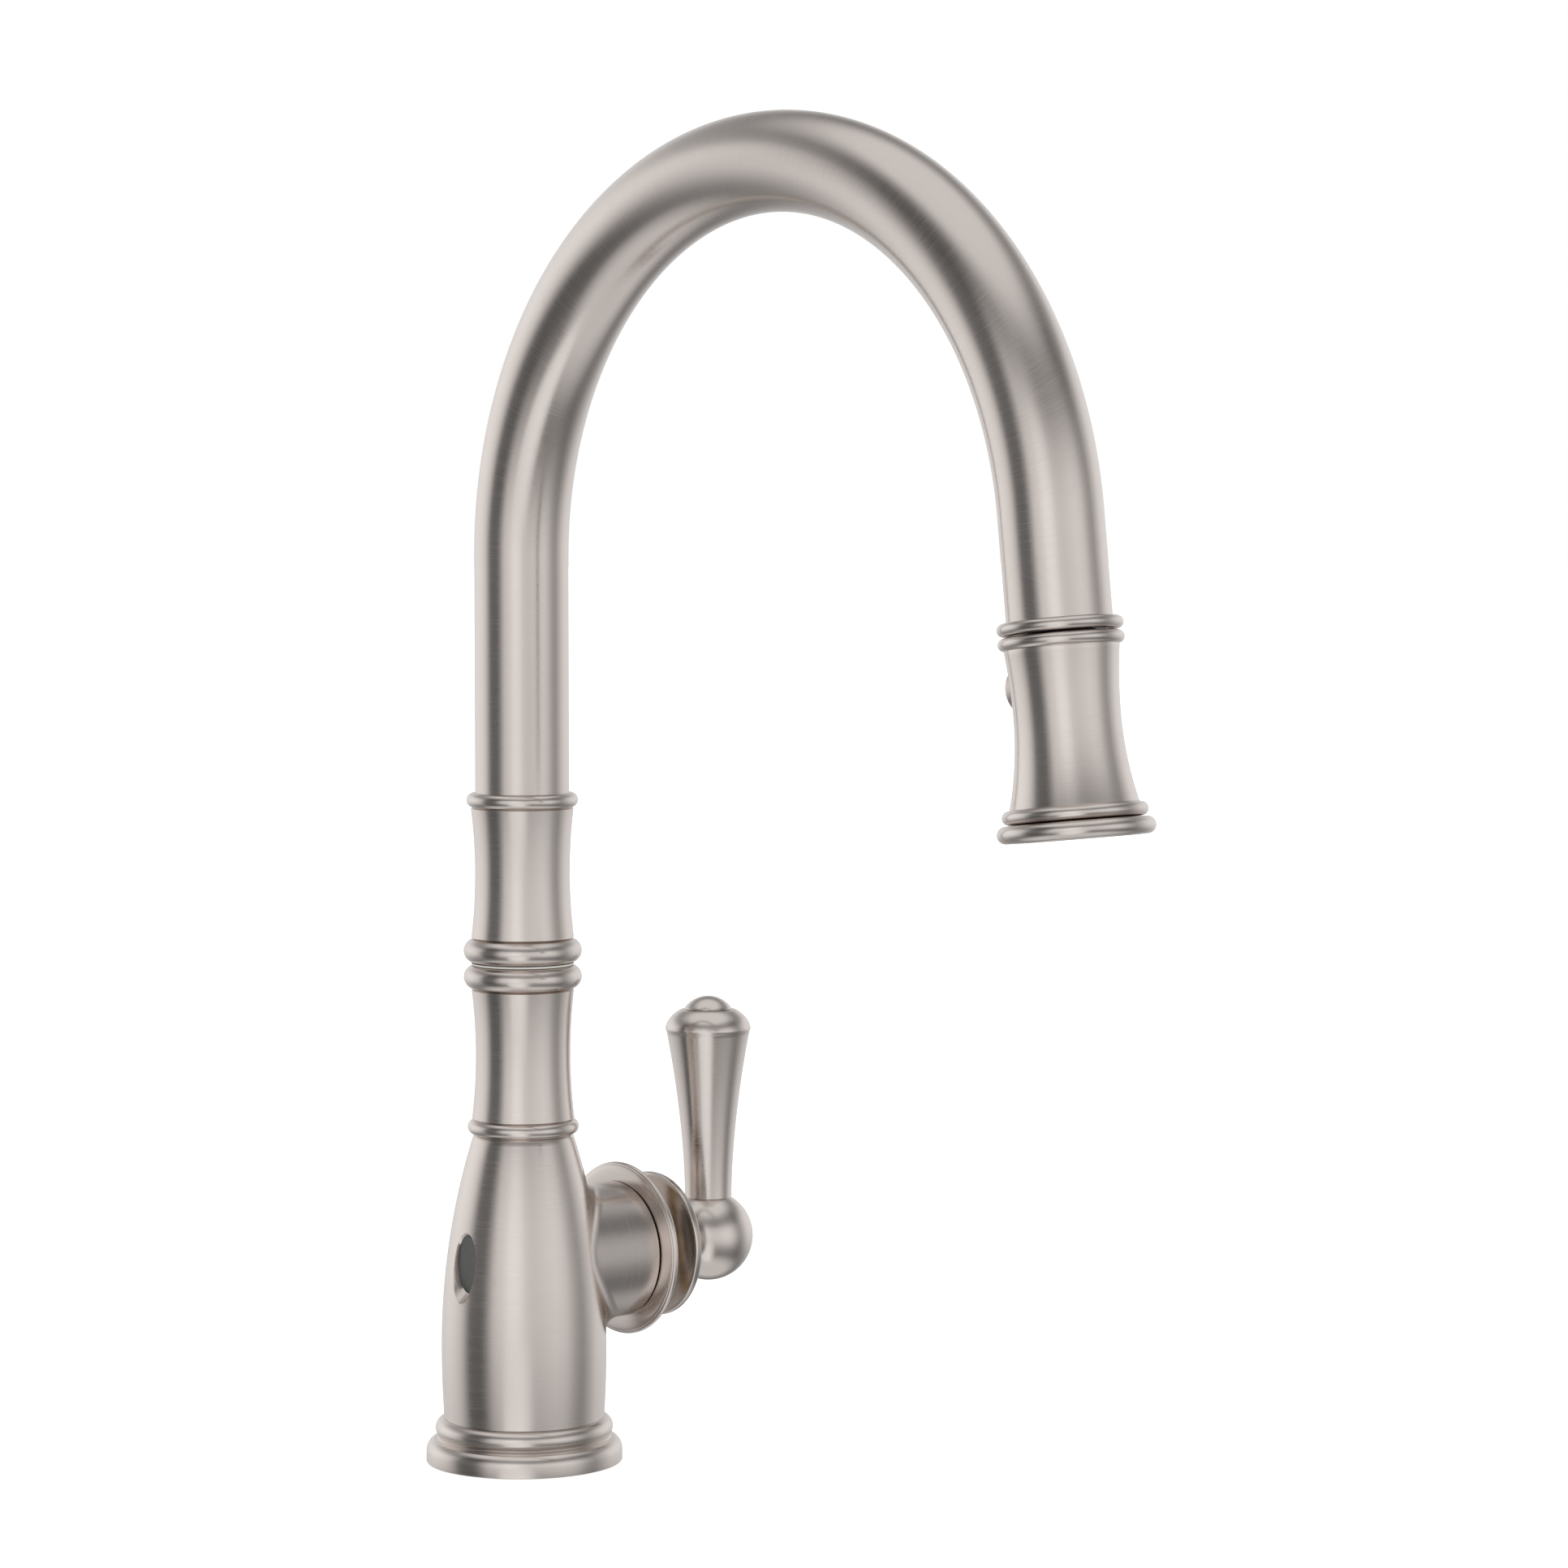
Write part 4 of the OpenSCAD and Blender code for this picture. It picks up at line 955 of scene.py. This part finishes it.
view = {
    "place": (-0.8695, -1.0804, 0.2931),
    "tilt": 86.463,
    "turn": -42.12,
    "lens": 104.69,
}
camera = bpy.data.objects.new("camera", bpy.data.cameras.new("camera"))
bpy.context.scene.collection.objects.link(camera)
camera.location = view["place"]
camera.rotation_euler = (math.radians(view["tilt"]), 0, math.radians(view["turn"]))
camera.data.lens = view["lens"]
camera.data.sensor_width = 36
camera.data.clip_start = 0.05
camera.data.clip_end = 60
bpy.context.scene.camera = camera
studio = {
    # angles round the object: 0 towards the camera, minus to its left, plus to its right
    "walls": [
        (-180, 0.78), (-165, 0.95), (-150, 1.08), (-128, 1.22), (-110, 1.15), (-96, 0.95),
        (-86, 0.55), (-80, 0.20), (-57, 0.17), (-49, 0.45), (-40, 0.92), (-28, 1.02), (-16, 1.28),
        (-4, 1.24), (8, 0.92), (20, 0.90), (50, 1.06), (66, 0.96), (80, 0.60), (94, 0.42),
        (104, 0.66), (125, 1.06), (150, 1.08), (165, 0.95), (180, 0.78),
    ],
    # angles above and below level: a band of light all round, dark edges to it, bright ceiling and floor
    "levels": [
        (-90, 0.70), (-64, 0.74), (-52, 0.52), (-42, 0.24), (-32, 0.30), (-20, 0.54), (-10, 0.76),
        (0, 0.86), (12, 0.88), (22, 0.76), (32, 0.40), (42, 0.28), (52, 0.52), (62, 0.82),
        (90, 0.84),
    ],
    # how far up and down the walls reach
    "reach": [(-90, 0.0), (-50, 0.05), (-30, 0.75), (-18, 1.0), (28, 1.0), (40, 0.7), (56, 0.0), (90, 0.0)],
    # a tall soft box low in front
    "boxAround": [(-180, 0.0), (-38, 0.0), (-24, 0.95), (0, 1.05), (12, 0.85), (24, 0.0), (180, 0.0)],
    "boxLevels": [(-90, 0.0), (-75, 0.0), (-60, 1.0), (-25, 1.0), (-8, 0.9), (4, 0.0), (90, 0.0)],
}


def makeStudio():
    world = bpy.data.worlds.new("studio")
    bpy.context.scene.world = world
    world.use_nodes = True
    graph = Graph(world.node_tree)
    way = graph.add("ShaderNodeTexCoord", {}, {}, 0)
    turn = math.radians(view["turn"])
    front = (math.sin(turn), -math.cos(turn), 0)   # from the object to the camera
    right = (math.cos(turn), math.sin(turn), 0)
    ahead = graph.vector("DOT_PRODUCT", way, front, out=1)
    aside = graph.vector("DOT_PRODUCT", way, right, out=1)
    around = aside.maths("ARCTAN2", ahead) * (0.5 / math.pi) + 0.5
    rise = way[2].maths("ARCSINE") * (1 / math.pi) + 0.5

    def light(name, place, full):
        marks = [(0.5 + angle / full, bright) for angle, bright in studio[name]]
        return graph.add("ShaderNodeValToRGB", {"stops": marks}, {0: place})

    reach = light("reach", rise, 180)
    walls = light("levels", rise, 180) * (light("walls", around, 360) * reach + (1 - reach))
    glow = walls.maths("MAXIMUM", light("boxAround", around, 360) * light("boxLevels", rise, 180))
    room = graph.add("ShaderNodeBackground", {}, {0: glow, 1: 1.0})
    plain = graph.add("ShaderNodeBackground", {}, {0: (1, 1, 1, 1), 1: 1.0})
    seen = graph.add("ShaderNodeLightPath", {}, {}, 0)
    both = graph.add("ShaderNodeMixShader", {}, {0: seen, 1: room, 2: plain})
    graph.node("ShaderNodeOutputWorld", {}, {0: both})


makeStudio()
deselectAll()
bpy.ops.mesh.primitive_plane_add(size=30, location=(0, 0, -0.0002))
floor = bpy.context.active_object
floor.name = "paleFloor"
floorMaterial, floorGraph = newMaterial("paleFloor")
speckle = floorGraph.noise(floorGraph.place(), 30.0, 3.0)
floorGraph.surface(
    Base_Color=floorGraph.tint(speckle, (0.94, 0.94, 0.94, 1), (0.96, 0.96, 0.96, 1)), Roughness=0.9,
    Emission_Color=(1, 1, 1, 1), Emission_Strength=0.7)
floor.data.materials.append(floorMaterial)
floor.visible_glossy = False
bpy.context.scene.view_settings.view_transform = "Standard"
bpy.context.scene.view_settings.look = "None"
bpy.context.scene.view_settings.exposure = 0
bpy.context.scene.view_settings.gamma = 1
